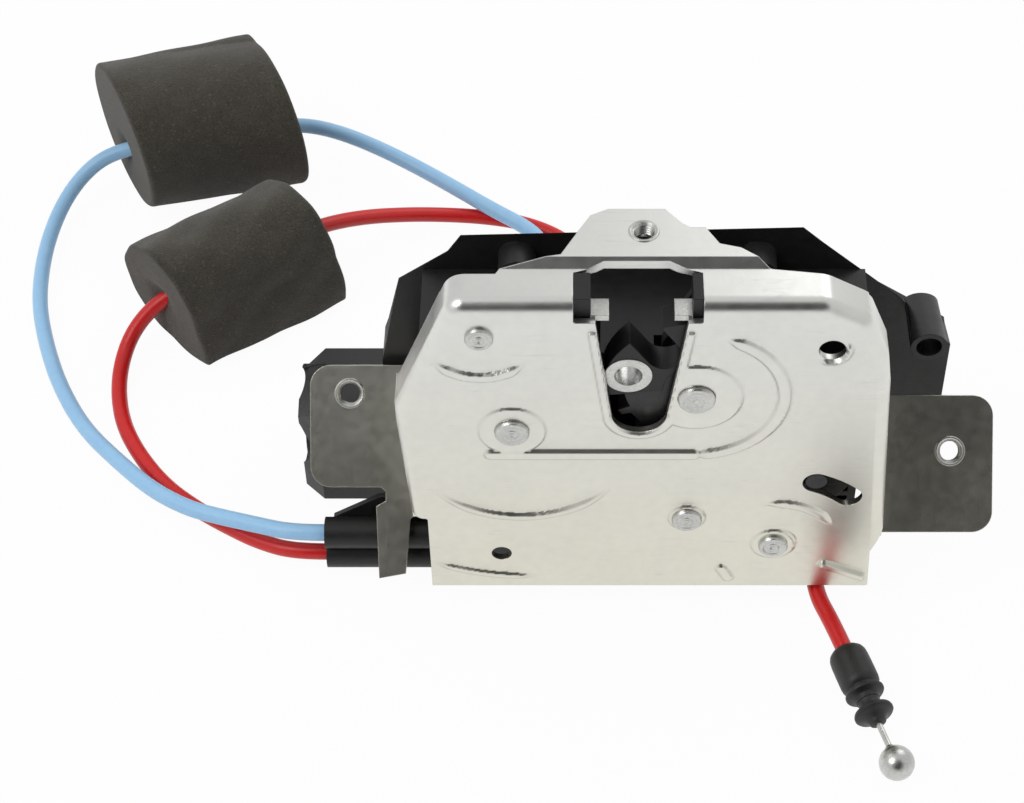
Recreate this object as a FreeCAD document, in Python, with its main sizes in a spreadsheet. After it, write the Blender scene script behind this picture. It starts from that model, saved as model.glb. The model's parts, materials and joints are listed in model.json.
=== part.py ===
import FreeCAD, Part

import math
import os

import Sketcher

# Tailgate lock with a pressed steel lock plate, a rotary catch held by a pawl, an
# emergency release lever on a short cable and a closing drive behind the plate.
# X runs to the right, Y away from the front face of the lock plate, Z up from the
# surface that the lock stands on. X = 0 is the middle of the striker slot.
# Heights called rise are counted from the lower edge of the lock plate.

Vector = FreeCAD.Vector
doc = FreeCAD.newDocument("TailgateLock")


class Size:
    """A value of the sheet, or a sum worked out from such values, with its formula."""

    def __init__(self, value, text):
        self.value = value
        self.text = text

    def __add__(self, other):
        return Size(self.value + number(other), "(%s + %s)" % (self.text, formula(other)))

    def __radd__(self, other):
        return Size(number(other) + self.value, "(%s + %s)" % (formula(other), self.text))

    def __sub__(self, other):
        return Size(self.value - number(other), "(%s - %s)" % (self.text, formula(other)))

    def __rsub__(self, other):
        return Size(number(other) - self.value, "(%s - %s)" % (formula(other), self.text))

    def __mul__(self, other):
        return Size(self.value * number(other), "(%s * %s)" % (self.text, formula(other)))

    def __rmul__(self, other):
        return self * other

    def __truediv__(self, other):
        return Size(self.value / number(other), "(%s / %s)" % (self.text, formula(other)))

    def __neg__(self):
        return Size(-self.value, "(0 - %s)" % self.text)


def number(size):
    return size.value if isinstance(size, Size) else float(size)


def formula(size):
    return size.text if isinstance(size, Size) else repr(float(size))


def cosine(angle):
    return Size(math.cos(math.radians(number(angle))), "cos(%s)" % formula(angle))


def sine(angle):
    return Size(math.sin(math.radians(number(angle))), "sin(%s)" % formula(angle))


def vector(x, y, z):
    return Vector(number(x), number(y), number(z))


class Sheet:
    """The driving dimensions, in millimetres and degrees."""

    def __init__(self, sections):
        self.sheet = doc.addObject("Spreadsheet::Sheet", "Sizes")
        row = 1
        for section in sections:
            for alias, value in section.items():
                self.sheet.set("A%d" % row, alias.replace("_", " "))
                self.sheet.set("B%d" % row, str(value))
                self.sheet.setAlias("B%d" % row, alias)
                setattr(self, alias, Size(float(value), "Sizes." + alias))
                row += 1
        doc.recompute()


plate_sizes = {
    "plate_lift": 9, "plate_thick": 2, "plate_rise": 118,
    "bottom_left": 59, "left_step": 63.6, "left_side": 66, "left_notch_rise": 31,
    "left_bend_rise": 77, "flange_left": 50, "flange_right": 48,
    "bottom_right": 68.5, "right_waist": 67.5, "right_step": 71, "right_notch_rise": 23.6,
    "right_bend_rise": 86, "right_top": 67, "shoulder_x": 60, "shoulder_rise": 111,
    "tray_depth": 46, "front_bend": 4, "corner_round": 6,
    "flange_depth": 11.6, "flange_mid_depth": 16.5, "left_wall_depth": 12, "right_wall_depth": 11,
    "mouth_left": 17.8, "mouth_right": 15.9, "mouth_depth": 12, "mouth_back": 14.8, "mouth_rise": 111.5,
    "slot_top_half": 12.2, "slot_half": 8.3, "slot_waist_rise": 82, "slot_floor_rise": 68.6,
    "tab_left": 21, "tab_right": 26, "tab_top_left": 8.5, "tab_top_right": 6.5,
    "tab_shoulder_right": 17, "tab_shoulder_depth": 26.5, "tab_side_depth": 31,
    "tab_depth": 33.4, "tab_step": 2.3, "joggle_depth": 13.3, "joggle_run": 2.4,
    "tab_thread": 3, "thread_x": 0.8, "thread_depth": 25, "thread_collar": 4.6, "collar_length": 3,
}
ear_sizes = {
    "ear_tilt": 45, "left_ear": 94.5, "left_ear_low": 28.8, "left_ear_high": 64.5,
    "left_hole_x": 82.9, "left_hole_up": 56.3, "leg_left": 75.4, "leg_right": 66.4, "leg_low": 2,
    "leg_notch": 4, "right_ear": 104.6, "right_ear_low": 15.6, "right_ear_high": 55.7,
    "right_hole_x": 92.1, "right_hole_up": 39.4, "ear_hole": 3.3, "ear_collar": 4.6,
    "ear_collar_length": 3.5, "ear_corner": 6,
}
pivot_sizes = {
    "catch_x": 15.2, "catch_rise": 82.9, "catch_axle": 4.5,
    "pawl_x": -34.4, "pawl_rise": 69.4, "pawl_axle": 4,
    "transfer_x": 14.3, "transfer_rise": 31.8, "small_axle": 2.8,
    "release_x": 39.4, "release_rise": 19.9,
    "corner_x": -42.3, "corner_rise": 106, "axle_gap": 0.1,
}
catch_sizes = {
    "catch_front": 4, "catch_thick": 6, "catch_radius": 23, "jaw_radius": 25.4, "coat": 1,
    "throat_angle": 124, "throat_half": 6, "throat_floor": 9.6, "hub_radius": 8.6,
    "ring_reach": 19.05, "ring_angle": 163.9, "ring_radius": 6.4, "ring_bore": 3.75,
    "lower_jaw_end": 184, "upper_jaw_end": 78, "back_cut_angle": 306,
    "notch_wall_angle": 205, "notch_start_angle": 189, "notch_depth": 3.6,
    "first_notch_wall": 226, "first_notch_start": 212, "first_notch_depth": 2.6,
    "ring_stem": 5, "coat_inner": 8.9, "stop_reach": 20, "stop_angle": 63, "stop_radius": 3,
}
lever_sizes = {
    "pawl_gap": 0.5, "pawl_nose_start": 252, "pawl_nose_end": 268, "pawl_nose_width": 7,
    "pawl_hub": 7.5, "tail_angle": 283, "tail_reach": 33, "tail_width": 8,
    "lever_front": 11.3, "lever_thick": 2.3, "pawl_pin_x": -6, "pawl_pin_rise": 56,
    "pawl_pin": 2.2, "lever_gap": 0.5, "transfer_hub": 5.6, "release_front": 4.2,
    "release_thick": 3, "release_hub": 6.5, "release_pin_reach": 29, "release_pin_angle": 68.8,
    "release_swing": 22, "release_pin": 3, "window_gap": 0.9, "wire_arm_reach": 14.4,
    "wire_arm_angle": -12, "transfer_left_angle": 118.7, "transfer_left_reach": 33,
    "transfer_half": 3.4, "transfer_right_angle": -12.6, "transfer_right_reach": 21.5,
    "rear_pin": 2, "rear_pin_reach": 9.5, "rear_pin_angle": 165, "nipple_radius": 2.4,
}
back_sizes = {
    "back_front": 14, "back_thick": 2, "back_left": 56, "back_right": 62, "back_top": 113,
    "back_bottom": 14, "back_slot_left": 10.5, "back_slot_right": 9, "back_slot_rise": 64,
    "hub_boss_radius": 12, "emboss": 0.7, "pawl_boss_radius": 8.8, "head_height": 1.6,
    "catch_head": 7.4, "small_head": 4.2, "corner_head": 3.8, "lever_axle_end": 22,
}
housing_sizes = {
    "housing_front": 16, "housing_low": -9, "housing_left": 60, "housing_right": 64, "housing_rise": 83,
    "housing_back": 48, "shell": 2.4, "case_thick": 12, "eye_x": 82, "eye_rise": 68,
    "eye_radius": 5.2, "eye_bore": 3.6, "eye_length": 16, "screw_boss_x": 33.5,
    "screw_boss_rise": 88.5, "screw_boss_radius": 5.2, "dome_x": 18, "dome_rise": 40,
    "dome_radius": 30, "dome_depth": 14,
    "motor_left": 100, "motor_right": 60, "motor_front": 40, "motor_depth": 36, "motor_height": 39,
    "motor_radius": 14, "motor_length": 32, "shaft_radius": 1.8, "worm_radius": 5.4, "worm_length": 26,
    "wheel_radius": 21, "wheel_thick": 8, "wheel_teeth": 30, "tooth_depth": 2.2, "mesh_gap": 0.35,
    "wheel_x": 18, "wheel_rise": 37.25, "axle_radius": 3, "screw_radius": 2, "boss_length": 8,
    "cap_thick": 3, "ridge_half": 24, "worm_room": 1.6, "worm_side": 0.7, "pinion_front": 17.6, "pinion_thick": 3.4,
    "pinion_radius": 9.13, "sector_radius": 36.4, "roll_gap": 0.2,
}
cable_sizes = {
    "cable_radius": 2.5, "gland_depth": 15.6, "gland_radius": 4.7, "gland_low_rise": -4,
    "gland_pitch": 9.1, "gland_left": 91, "gland_right": 60.6, "boot_radius": 5.75,
    "boot_length": 18, "ball_radius": 5, "wire_radius": 0.9, "plunger_travel": 1.2,
    "plunger_radius": 1.2, "entry_radius": 4.2, "foam_radius": 20.5, "foam_length": 53,
}
size = Sheet([plate_sizes, ear_sizes, pivot_sizes, catch_sizes, lever_sizes, back_sizes,
              housing_sizes, cable_sizes])


def height(rise):
    """A height above the standing surface, from a rise above the plate's lower edge."""
    return size.plate_lift + rise


nodes = []


def label(piece, name):
    piece.Label = name
    nodes.append(piece)
    return piece


def bind(piece, name, length):
    """Sets a property of a piece and ties it to the formula that it comes from."""
    if isinstance(length, Size):
        piece.setExpression(name, length.text)
    elif "." not in name:
        setattr(piece, name, length)


def place(piece, x, y, z, axis=(0, 0, 1), turn=0):
    """Puts a piece at x, y, z, turned about an axis, and ties its place to the sheet."""
    piece.Placement = FreeCAD.Placement(vector(x, y, z), FreeCAD.Rotation(Vector(*axis), turn))
    bind(piece, "Placement.Base.x", x)
    bind(piece, "Placement.Base.y", y)
    bind(piece, "Placement.Base.z", z)
    return piece


def primitive(kind, name, **sizes):
    piece = doc.addObject("Part::" + kind, name)
    for key, value in sizes.items():
        setattr(piece, key, number(value))
        bind(piece, key, value)
    return piece


toward_back = ((1, 0, 0), -90)
toward_right = ((0, 1, 0), 90)


def rod(name, radius, length, x, y, z, direction=toward_back):
    """A cylinder that starts at x, y, z and runs back, or along the given direction."""
    piece = primitive("Cylinder", name, Radius=radius, Height=length)
    return place(piece, x, y, z, direction[0], direction[1])


def block(name, x0, x1, y0, y1, z0, z1):
    piece = primitive("Box", name, Length=x1 - x0, Width=y1 - y0, Height=z1 - z0)
    return place(piece, x0, y0, z0)


def cut(name, base, tool):
    piece = doc.addObject("Part::Cut", name)
    piece.Base = base
    piece.Tool = tool
    return piece


def fuse(name, pieces):
    piece = doc.addObject("Part::MultiFuse", name)
    piece.Shapes = pieces
    piece.Refine = True
    return piece


def group(name, pieces):
    """Several separate solids of one kind under one name."""
    piece = doc.addObject("Part::Compound", name)
    piece.Links = pieces
    return piece


class Arc:
    """A round stretch between two points of an outline, through a point on the way."""

    def __init__(self, through, centre):
        self.through = through
        self.centre = centre


def polar(x, z, reach, angle):
    return (x + reach * cosine(angle), z + reach * sine(angle))


def around(x, z, reach, start, end):
    """An arc about x, z as an outline's start point, arc and end point."""
    middle = (start + end) * 0.5
    through = polar(x, z, reach, middle)
    return [polar(x, z, reach, start), Arc(through, (x, z)), polar(x, z, reach, end)]


def origin_plane(body, role):
    return [plane for plane in body.Origin.OriginFeatures if plane.Role == role][0]


def sketch_on(body, role, offset=0, turn=None):
    sketch = body.newObject("Sketcher::SketchObject", "Sketch")
    sketch.AttachmentSupport = [(origin_plane(body, role), "")]
    sketch.MapMode = "FlatFace"
    rotation = FreeCAD.Rotation(Vector(1, 0, 0), turn) if turn else FreeCAD.Rotation()
    sketch.AttachmentOffset = FreeCAD.Placement(vector(0, 0, offset), rotation)
    bind(sketch, "AttachmentOffset.Base.z", offset)
    return sketch


def fix(sketch, kind, places, value):
    index = sketch.addConstraint(Sketcher.Constraint(kind, *places, number(value)))
    if isinstance(value, Size):
        sketch.setExpression("Constraints[%d]" % index, value.text)


def draw(sketch, outline):
    """Draws a closed outline of points and arcs, each point fixed to its formula."""
    points = [item for item in outline if not isinstance(item, Arc)]
    arcs = {}
    seen = 0
    for item in outline:
        if isinstance(item, Arc):
            arcs[seen - 1] = item
        else:
            seen += 1
    first = sketch.GeometryCount
    count = len(points)
    for index in range(count):
        start = vector(*points[index], 0)
        end = vector(*points[(index + 1) % count], 0)
        if index in arcs:
            through = vector(*arcs[index].through, 0)
            if (through - start).cross(end - start).z < 0:
                start, end = end, start
            sketch.addGeometry(Part.Arc(start, through, end), False)
        else:
            sketch.addGeometry(Part.LineSegment(start, end), False)
    for index in range(count):
        edge = sketch.Geometry[first + index]
        following = sketch.Geometry[first + (index + 1) % count]
        tip = vector(*points[(index + 1) % count], 0)
        here = 2 if edge.EndPoint.distanceToPoint(tip) < 1e-6 else 1
        there = 1 if following.StartPoint.distanceToPoint(tip) < 1e-6 else 2
        after = first + (index + 1) % count
        sketch.addConstraint(Sketcher.Constraint("Coincident", first + index, here, after, there))
        fix(sketch, "DistanceX", (-1, 1, first + index, here), points[(index + 1) % count][0])
        fix(sketch, "DistanceY", (-1, 1, first + index, here), points[(index + 1) % count][1])
        if index in arcs:
            chord = tip - vector(*points[index], 0)
            x, z = arcs[index].centre
            if abs(chord.y) > abs(chord.x):
                fix(sketch, "DistanceX", (-1, 1, first + index, 3), x)
            else:
                fix(sketch, "DistanceY", (-1, 1, first + index, 3), z)


def circle(sketch, x, z, radius):
    index = sketch.addGeometry(Part.Circle(vector(x, z, 0), Vector(0, 0, 1), number(radius)), False)
    fix(sketch, "DistanceX", (-1, 1, index, 3), x)
    fix(sketch, "DistanceY", (-1, 1, index, 3), z)
    fix(sketch, "Radius", (index,), radius)


def feature(body, kind, sketch, length=None, backwards=False, both=False):
    """A Pad or Pocket of a sketch: a length one way, or right through both ways."""
    step = body.newObject("PartDesign::" + kind, kind)
    step.Profile = sketch
    if length is None:
        step.Type = "ThroughAll"
    else:
        step.Length = number(length)
        bind(step, "Length", length)
    step.Reversed = backwards
    step.Midplane = both
    doc.recompute()
    return step


def front_plate(name, outline, front, thick, holes=()):
    """A flat piece parallel to the lock plate, with round holes (x, height, radius)."""
    body = doc.addObject("PartDesign::Body", name)
    sketch = sketch_on(body, "XZ_Plane", -front)
    draw(sketch, outline)
    for x, z, radius in holes:
        circle(sketch, x, z, radius)
    feature(body, "Pad", sketch, thick, backwards=True)
    return body


def round_edges(body, radius, chosen):
    """Rounds the edges of a body that a test on their middle and direction chooses."""
    names = []
    base = body.Tip
    for index, edge in enumerate(base.Shape.Edges):
        middle = edge.valueAt((edge.FirstParameter + edge.LastParameter) / 2)
        if chosen(edge, middle):
            names.append("Edge%d" % (index + 1))
    step = body.newObject("PartDesign::Fillet", "Fillet")
    step.Base = (base, names)
    step.Radius = number(radius)
    bind(step, "Radius", radius)
    doc.recompute()
    return step


def on_incline(up):
    """Depth and rise of a point that lies a distance up the slope of the ears."""
    return up * cosine(size.ear_tilt), up * sine(size.ear_tilt)


def wall_trim(body, low, high, wall_depth, face, outward):
    """Cuts a side wall back to its ear's slope, square across the slope at both ends."""
    margin = 30
    low_depth, low_rise = on_incline(low)
    high_depth, high_rise = on_incline(high)
    front = size.front_bend + 0.5
    climb = (high_depth - wall_depth) / sine(size.ear_tilt) * cosine(size.ear_tilt)
    drop = (low_depth - front) / sine(size.ear_tilt) * cosine(size.ear_tilt)
    top = height(size.plate_rise - size.corner_round - 1)
    sketch = sketch_on(body, "YZ_Plane", face)
    draw(sketch, [
        (front, size.plate_lift - margin),
        (front, height(low_rise + drop)),
        (low_depth, height(low_rise)),
        (high_depth, height(high_rise)),
        (wall_depth, height(high_rise + climb)),
        (wall_depth, top),
        (size.tray_depth + margin, top),
        (size.tray_depth + margin, size.plate_lift - margin),
    ])
    feature(body, "Pocket", sketch, 2 * margin, backwards=outward)


def tray(body):
    """The pressed tray: plate, flange and side walls drawn from one sheet."""
    lower = height(0)
    corners = [
        (-size.left_step, height(size.left_notch_rise)),
        (-size.left_side, height(size.left_bend_rise - 7)),
        (-size.left_side, height(size.left_bend_rise)),
        (-size.flange_left, height(size.plate_rise)),
        (size.flange_right, height(size.plate_rise)),
        (size.shoulder_x, height(size.shoulder_rise)),
        (size.right_top - 1.5, height(size.right_bend_rise + 11)),
        (size.right_top, height(size.right_bend_rise)),
        (size.right_step, height(size.right_notch_rise)),
    ]
    thick = size.plate_thick
    outside = [(-size.left_step, lower)] + corners + [(size.right_step, lower)]
    sketch = sketch_on(body, "XZ_Plane")
    draw(sketch, outside)
    feature(body, "Pad", sketch, size.tray_depth, backwards=True)
    runs_back = lambda edge, middle: abs(abs(edge.tangentAt(edge.FirstParameter).y) - 1) < 1e-6
    high = number(height(size.left_bend_rise)) + 5
    round_edges(body, size.corner_round, lambda edge, middle: runs_back(edge, middle) and middle.z > high)
    low = number(lower) + 0.5
    round_edges(body, size.front_bend,
                lambda edge, middle: abs(middle.y) < 1e-6 and middle.z > low)
    shift = [thick, thick, thick, thick, -thick, -thick, -thick, -thick, -thick]
    inner = [(x + move, z) for (x, z), move in zip(corners, shift)]
    for index in (3, 4, 5):
        inner[index] = (inner[index][0], inner[index][1] - thick)
    below = size.plate_lift - 5
    sketch = sketch_on(body, "XZ_Plane", -thick)
    draw(sketch, [(-size.left_step + thick, below)] + inner + [(size.right_step - thick, below)])
    feature(body, "Pocket", sketch, size.tray_depth + 5, backwards=False)
    inside = number(thick)
    round_edges(body, size.front_bend - thick,
                lambda edge, middle: abs(middle.y - inside) < 1e-6 and middle.z > low)
    return body


def tab(body):
    """The raised tab with its joggle, and the outline of the flange and the tab."""
    rise, thick, step = size.plate_rise, size.plate_thick, size.tab_step
    start, run = size.joggle_depth, size.joggle_run
    above = height(rise + 5)
    slack = thick * 0.45
    sketch = sketch_on(body, "XY_Plane", above)
    draw(sketch, [(-90, start + slack), (90, start + slack), (90, 80), (-90, 80)])
    feature(body, "Pocket", sketch, 6 + size.corner_round)
    left = size.tab_left + 16
    sketch = sketch_on(body, "YZ_Plane", -left)
    draw(sketch, [
        (start - 1, height(rise - thick)), (start - 1, height(rise)), (start, height(rise)),
        (start + run, height(rise + step)), (size.tab_depth + 2, height(rise + step)),
        (size.tab_depth + 2, height(rise + step - thick)),
        (start + run + slack, height(rise + step - thick)), (start + slack, height(rise - thick)),
    ])
    feature(body, "Pad", sketch, left + size.tab_right + 10)
    sketch = sketch_on(body, "XY_Plane", above)
    draw(sketch, [
        (-90, size.flange_depth), (-size.tab_left - 17, size.flange_depth),
        (-size.tab_left - 16, start + 0.1), (-size.tab_left, size.flange_mid_depth),
        (-size.tab_left + 4.2, size.tab_shoulder_depth - 2),
        (-size.tab_top_left - 4.7, size.tab_side_depth),
        (-size.tab_top_left, size.tab_depth), (size.tab_top_right, size.tab_depth),
        (size.tab_top_right + 4.4, size.tab_shoulder_depth + 1.5),
        (size.tab_top_right + 6.5, size.tab_shoulder_depth),
        (size.tab_shoulder_right, size.tab_shoulder_depth),
        (size.tab_shoulder_right + 3.5, size.tab_shoulder_depth - 6),
        (size.tab_right, size.flange_mid_depth + 2.5),
        (size.tab_right + 7.5, start + 0.1), (size.flange_right, size.flange_depth),
        (90, size.flange_depth), (90, 80), (-90, 80),
    ])
    feature(body, "Pocket", sketch, 6 + size.corner_round)
    seat = height(rise + step - thick)
    sketch = sketch_on(body, "XY_Plane", seat)
    circle(sketch, size.thread_x, size.thread_depth, size.thread_collar)
    feature(body, "Pad", sketch, size.collar_length, backwards=True)
    sketch = sketch_on(body, "XY_Plane", above)
    circle(sketch, size.thread_x, size.thread_depth, size.tab_thread)
    feature(body, "Pocket", sketch, 16)
    return body


def beads(body):
    """Raised bosses round the axles and the stiffening beads of the front face."""
    boss = [
        (size.pawl_x, size.pawl_rise, size.pawl_boss_radius),
        (size.transfer_x, size.transfer_rise, size.small_axle + 2),
        (size.release_x, size.release_rise, size.small_axle + 3),
        (size.catch_x, size.catch_rise, size.hub_boss_radius),
    ]
    for x, rise, radius in boss:
        sketch = sketch_on(body, "XZ_Plane", size.emboss)
        circle(sketch, x, height(rise), radius)
        feature(body, "Pad", sketch, size.emboss + 0.5, backwards=True)
    rim = size.jaw_radius - 0.3
    wide = 3.2
    centre = (size.catch_x, height(size.catch_rise))
    low = centre[1] - rim
    long_bead = around(*centre, rim, -90, 72) + around(*centre, rim - wide, 72, -90)
    long_bead = long_bead + [(size.pawl_x - 7, low + wide), (size.pawl_x - 7, low)]
    smile = around(-32.5, height(63.5), 32.4, 222, 322) + around(-32.5, height(63.5), 29.9, 322, 222)
    low_arc = around(-30, height(70), 66.4, 245, 271) + around(-30, height(70), 64.2, 271, 245)
    release = (size.release_x, height(size.release_rise))
    lever_bead = around(*release, 19.3, 30, 101) + around(*release, 16.9, 101, 30)
    corner = (size.corner_x, height(size.corner_rise))
    corner_bead = around(*corner, 16.6, 218, 318) + around(*corner, 14, 318, 218)
    short = [(21, height(13.6)), (26.8, height(2.6)), (29.4, height(3.9)), (23.6, height(14.9))]
    for outline in (long_bead, smile, low_arc, lever_bead, corner_bead, short):
        sketch = sketch_on(body, "XZ_Plane", size.emboss)
        draw(sketch, outline)
        feature(body, "Pad", sketch, size.emboss + 0.5, backwards=True)
    return body


def openings(body):
    """The mouth, the striker slot, the lever's kidney slot and the small holes."""
    above = height(size.plate_rise + 5)
    sketch = sketch_on(body, "XY_Plane", above)
    draw(sketch, [
        (-size.mouth_left, -3), (-size.mouth_left, size.mouth_depth),
        (-size.mouth_left + 8, size.mouth_back), (size.mouth_right - 8.5, size.mouth_back),
        (size.mouth_right, size.mouth_depth), (size.mouth_right, -3),
    ])
    feature(body, "Pocket", sketch, size.plate_rise + 5 - size.mouth_rise)
    half = size.slot_half - 0.8
    turn = height(size.slot_floor_rise) + half
    sketch = sketch_on(body, "XZ_Plane", 3)
    draw(sketch, [
        (-size.slot_top_half, height(size.mouth_rise + 1)),
        (-size.slot_half, height(size.slot_waist_rise)), (-half, turn),
        Arc((0, height(size.slot_floor_rise)), (0, turn)), (half, turn),
        (size.slot_half, height(size.slot_waist_rise)),
        (size.slot_top_half, height(size.mouth_rise + 1)),
    ])
    feature(body, "Pocket", sketch, 8, backwards=False)
    pivot = (size.release_x, height(size.release_rise))
    reach, half = size.release_pin_reach, size.release_pin + size.window_gap
    start = size.release_pin_angle
    end = start - size.release_swing
    sketch = sketch_on(body, "XZ_Plane", 3)
    draw(sketch, around(*pivot, reach + half, start, end)
         + [Arc(polar(*polar(*pivot, reach, end), half, end - 90), polar(*pivot, reach, end))]
         + around(*pivot, reach - half, end, start)
         + [Arc(polar(*polar(*pivot, reach, start), half, start + 90), polar(*pivot, reach, start))])
    circle(sketch, -38.4, height(15.2), 2.9)
    circle(sketch, 50, height(101.4), 3.6)
    feature(body, "Pocket", sketch, 8, backwards=False)
    notch = 40
    sketch = sketch_on(body, "XZ_Plane", 3)
    draw(sketch, [(-size.bottom_left, height(-5)), (-size.bottom_left, height(size.left_notch_rise)),
                  (-size.left_side - notch, height(size.left_notch_rise)),
                  (-size.left_side - notch, height(-5))])
    draw(sketch, [(size.bottom_right, height(-5)), (size.right_waist, height(size.right_notch_rise - 7.5)),
                  (size.right_step, height(size.right_notch_rise)),
                  (size.right_step + notch, height(size.right_notch_rise)),
                  (size.right_step + notch, height(-5))])
    feature(body, "Pocket", sketch, 3.5 + size.front_bend, backwards=False)
    axles = [(size.catch_x, size.catch_rise, size.catch_axle), (size.pawl_x, size.pawl_rise, size.pawl_axle),
             (size.transfer_x, size.transfer_rise, size.small_axle),
             (size.release_x, size.release_rise, size.small_axle),
             (size.corner_x, size.corner_rise, size.small_axle)]
    sketch = sketch_on(body, "XZ_Plane", 3)
    for x, rise, radius in axles:
        circle(sketch, x, height(rise), radius)
    feature(body, "Pocket", sketch, 8, backwards=False)
    return body


def ear_sketch(body):
    sketch = sketch_on(body, "XY_Plane", size.plate_lift, number(size.ear_tilt))
    sketch.setExpression("AttachmentOffset.Rotation.Angle", size.ear_tilt.text)
    return sketch


def ears(body):
    """The two fixing ears on one slope, the left one with its leg, and their threads."""
    inner = size.left_step - 1
    low, high = size.left_ear_low, size.left_ear_high
    notch = size.left_notch_rise * sine(size.ear_tilt)
    sketch = ear_sketch(body)
    draw(sketch, [
        (-inner, high), (-size.left_ear, high), (-size.left_ear, low),
        (-size.leg_right - 7.6, low), (-size.leg_right - 6.2, low - 1.2),
        (-size.leg_right - 6.2, low - size.leg_notch), (-size.leg_left, low - size.leg_notch - 1.6),
        (-size.leg_left + 0.8, size.leg_low), (-size.leg_right - 0.4, size.leg_low + 1.4),
        (-size.leg_right + 1, notch - 2.5), (-inner, notch),
    ])
    feature(body, "Pad", sketch, size.plate_thick, backwards=True)
    inner = size.right_step - 1
    sketch = ear_sketch(body)
    draw(sketch, [(inner, size.right_ear_low), (size.right_ear, size.right_ear_low),
                  (size.right_ear, size.right_ear_high), (inner, size.right_ear_high)])
    feature(body, "Pad", sketch, size.plate_thick, backwards=True)
    outer = number(size.left_ear) - 1
    tilt = math.radians(number(size.ear_tilt))
    normal = Vector(0, -math.sin(tilt), math.cos(tilt))

    def ear_corner(edge, middle):
        square = abs(abs(edge.tangentAt(edge.FirstParameter).dot(normal)) - 1) < 1e-6
        return square and abs(middle.x) > outer

    round_edges(body, size.ear_corner, ear_corner)
    holes = [(-size.left_hole_x, size.left_hole_up), (size.right_hole_x, size.right_hole_up)]
    for x, up in holes:
        sketch = ear_sketch(body)
        circle(sketch, x, up, size.ear_collar)
        feature(body, "Pad", sketch, size.ear_collar_length, backwards=True)
    sketch = ear_sketch(body)
    for x, up in holes:
        circle(sketch, x, up, size.ear_hole)
    feature(body, "Pocket", sketch, 12, both=True)
    return body


def lock_plate():
    body = doc.addObject("PartDesign::Body", "LockPlate")
    tray(body)
    wall_trim(body, size.left_notch_rise * sine(size.ear_tilt), size.left_ear_high,
              size.left_wall_depth, -size.flange_left + 9, False)
    wall_trim(body, size.right_ear_low, size.right_ear_high,
              size.right_wall_depth, size.flange_right - 9, True)
    tab(body)
    beads(body)
    openings(body)
    ears(body)
    return label(body, "lock_plate")


def rod_toward(name, radius, length, x, y, z, toward):
    """A cylinder that starts at x, y, z and runs in the direction of a vector."""
    piece = primitive("Cylinder", name, Radius=radius, Height=length)
    turn = FreeCAD.Rotation(Vector(0, 0, 1), Vector(*toward))
    return place(piece, x, y, z, tuple(turn.Axis), math.degrees(turn.Angle))


def tube(name, outer, inner, length, x, y, z, direction=toward_back):
    return cut(name, rod(name + "Outer", outer, length, x, y, z, direction),
               rod(name + "Inner", inner, length, x, y, z, direction))


def drilled(name, base, radius, y0, y1, places):
    """A piece with round holes along Y at places (x, height)."""
    tools = [rod(name + "Drill", radius, y1 - y0, x, y0, z) for x, z in places]
    tool = tools[0] if len(tools) == 1 else fuse(name + "Drills", tools)
    return cut(name, base, tool)


catch_at = (size.catch_x, height(size.catch_rise))
pawl_at = (size.pawl_x, height(size.pawl_rise))
transfer_at = (size.transfer_x, height(size.transfer_rise))
release_at = (size.release_x, height(size.release_rise))
corner_at = (size.corner_x, height(size.corner_rise))


# Inner frame


def back_plate():
    left, right = size.back_left, size.back_right
    floor = size.back_slot_rise + size.back_slot_left
    outline = [
        (-left + 6, height(size.back_bottom)), (right - 10, height(size.back_bottom)),
        (right, height(30)), (right - 2, height(92)), (46, height(size.back_top)),
        (16, height(size.back_top)), (size.back_slot_right, height(100)),
        (size.back_slot_right, height(floor)), (size.back_slot_right - 5, height(size.back_slot_rise)),
        (-size.back_slot_left + 5, height(size.back_slot_rise)),
        (-size.back_slot_left, height(floor)), (-size.back_slot_left, height(100)),
        (-17, height(size.back_top)), (-49, height(size.back_top)), (-left, height(60)),
    ]
    holes = [(*catch_at, size.catch_axle), (*pawl_at, size.pawl_axle),
             (*transfer_at, size.small_axle), (*release_at, size.small_axle),
             (*corner_at, size.small_axle)]
    holes += [(x, height(rise), size.screw_radius) for x, rise in housing_screw_places]
    body = front_plate("BackPlate", outline, size.back_front, size.back_thick, holes)
    start = number(size.back_front)
    upright = lambda edge, middle: abs(abs(edge.tangentAt(edge.FirstParameter).y) - 1) < 1e-6
    round_edges(body, 2.5, lambda edge, middle: upright(edge, middle) and abs(middle.y - start - 1) < 1)
    return label(body, "back_plate")


def rivet(name, x, z, shank, head, front_face, collar=None, tail=None):
    """A shouldered rivet: a domed head in front, a shank and a set end behind."""
    back = size.back_front + size.back_thick
    rise = size.head_height
    profile = doc.addObject("PartDesign::Body", name)
    sketch = sketch_on(profile, "YZ_Plane")
    end = tail if tail else back + 1.4
    points = [(-front_face - rise, 0), (-front_face - rise, head * 0.55), (-front_face - rise * 0.72, head * 0.86),
              (-front_face - rise * 0.3, head), (-front_face, head), (-front_face, shank)]
    if collar:
        points += [(size.plate_thick, shank), (size.plate_thick, collar),
                   (size.back_front, collar), (size.back_front, shank)]
    points += [(end - 1.2, shank)] if tail else [(back, shank), (back, shank + 1.1)]
    points += [(end - 0.5, shank + (0 if tail else 1.1)), (end, shank - 0.5), (end, 0)]
    draw(sketch, points)
    step = profile.newObject("PartDesign::Revolution", "Revolution")
    step.Profile = sketch
    step.ReferenceAxis = (sketch, ["H_Axis"])
    step.Angle = 360
    profile.Placement.Base = vector(x, 0, z)
    bind(profile, "Placement.Base.x", x)
    bind(profile, "Placement.Base.z", z)
    doc.recompute()
    return label(profile, name)


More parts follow.
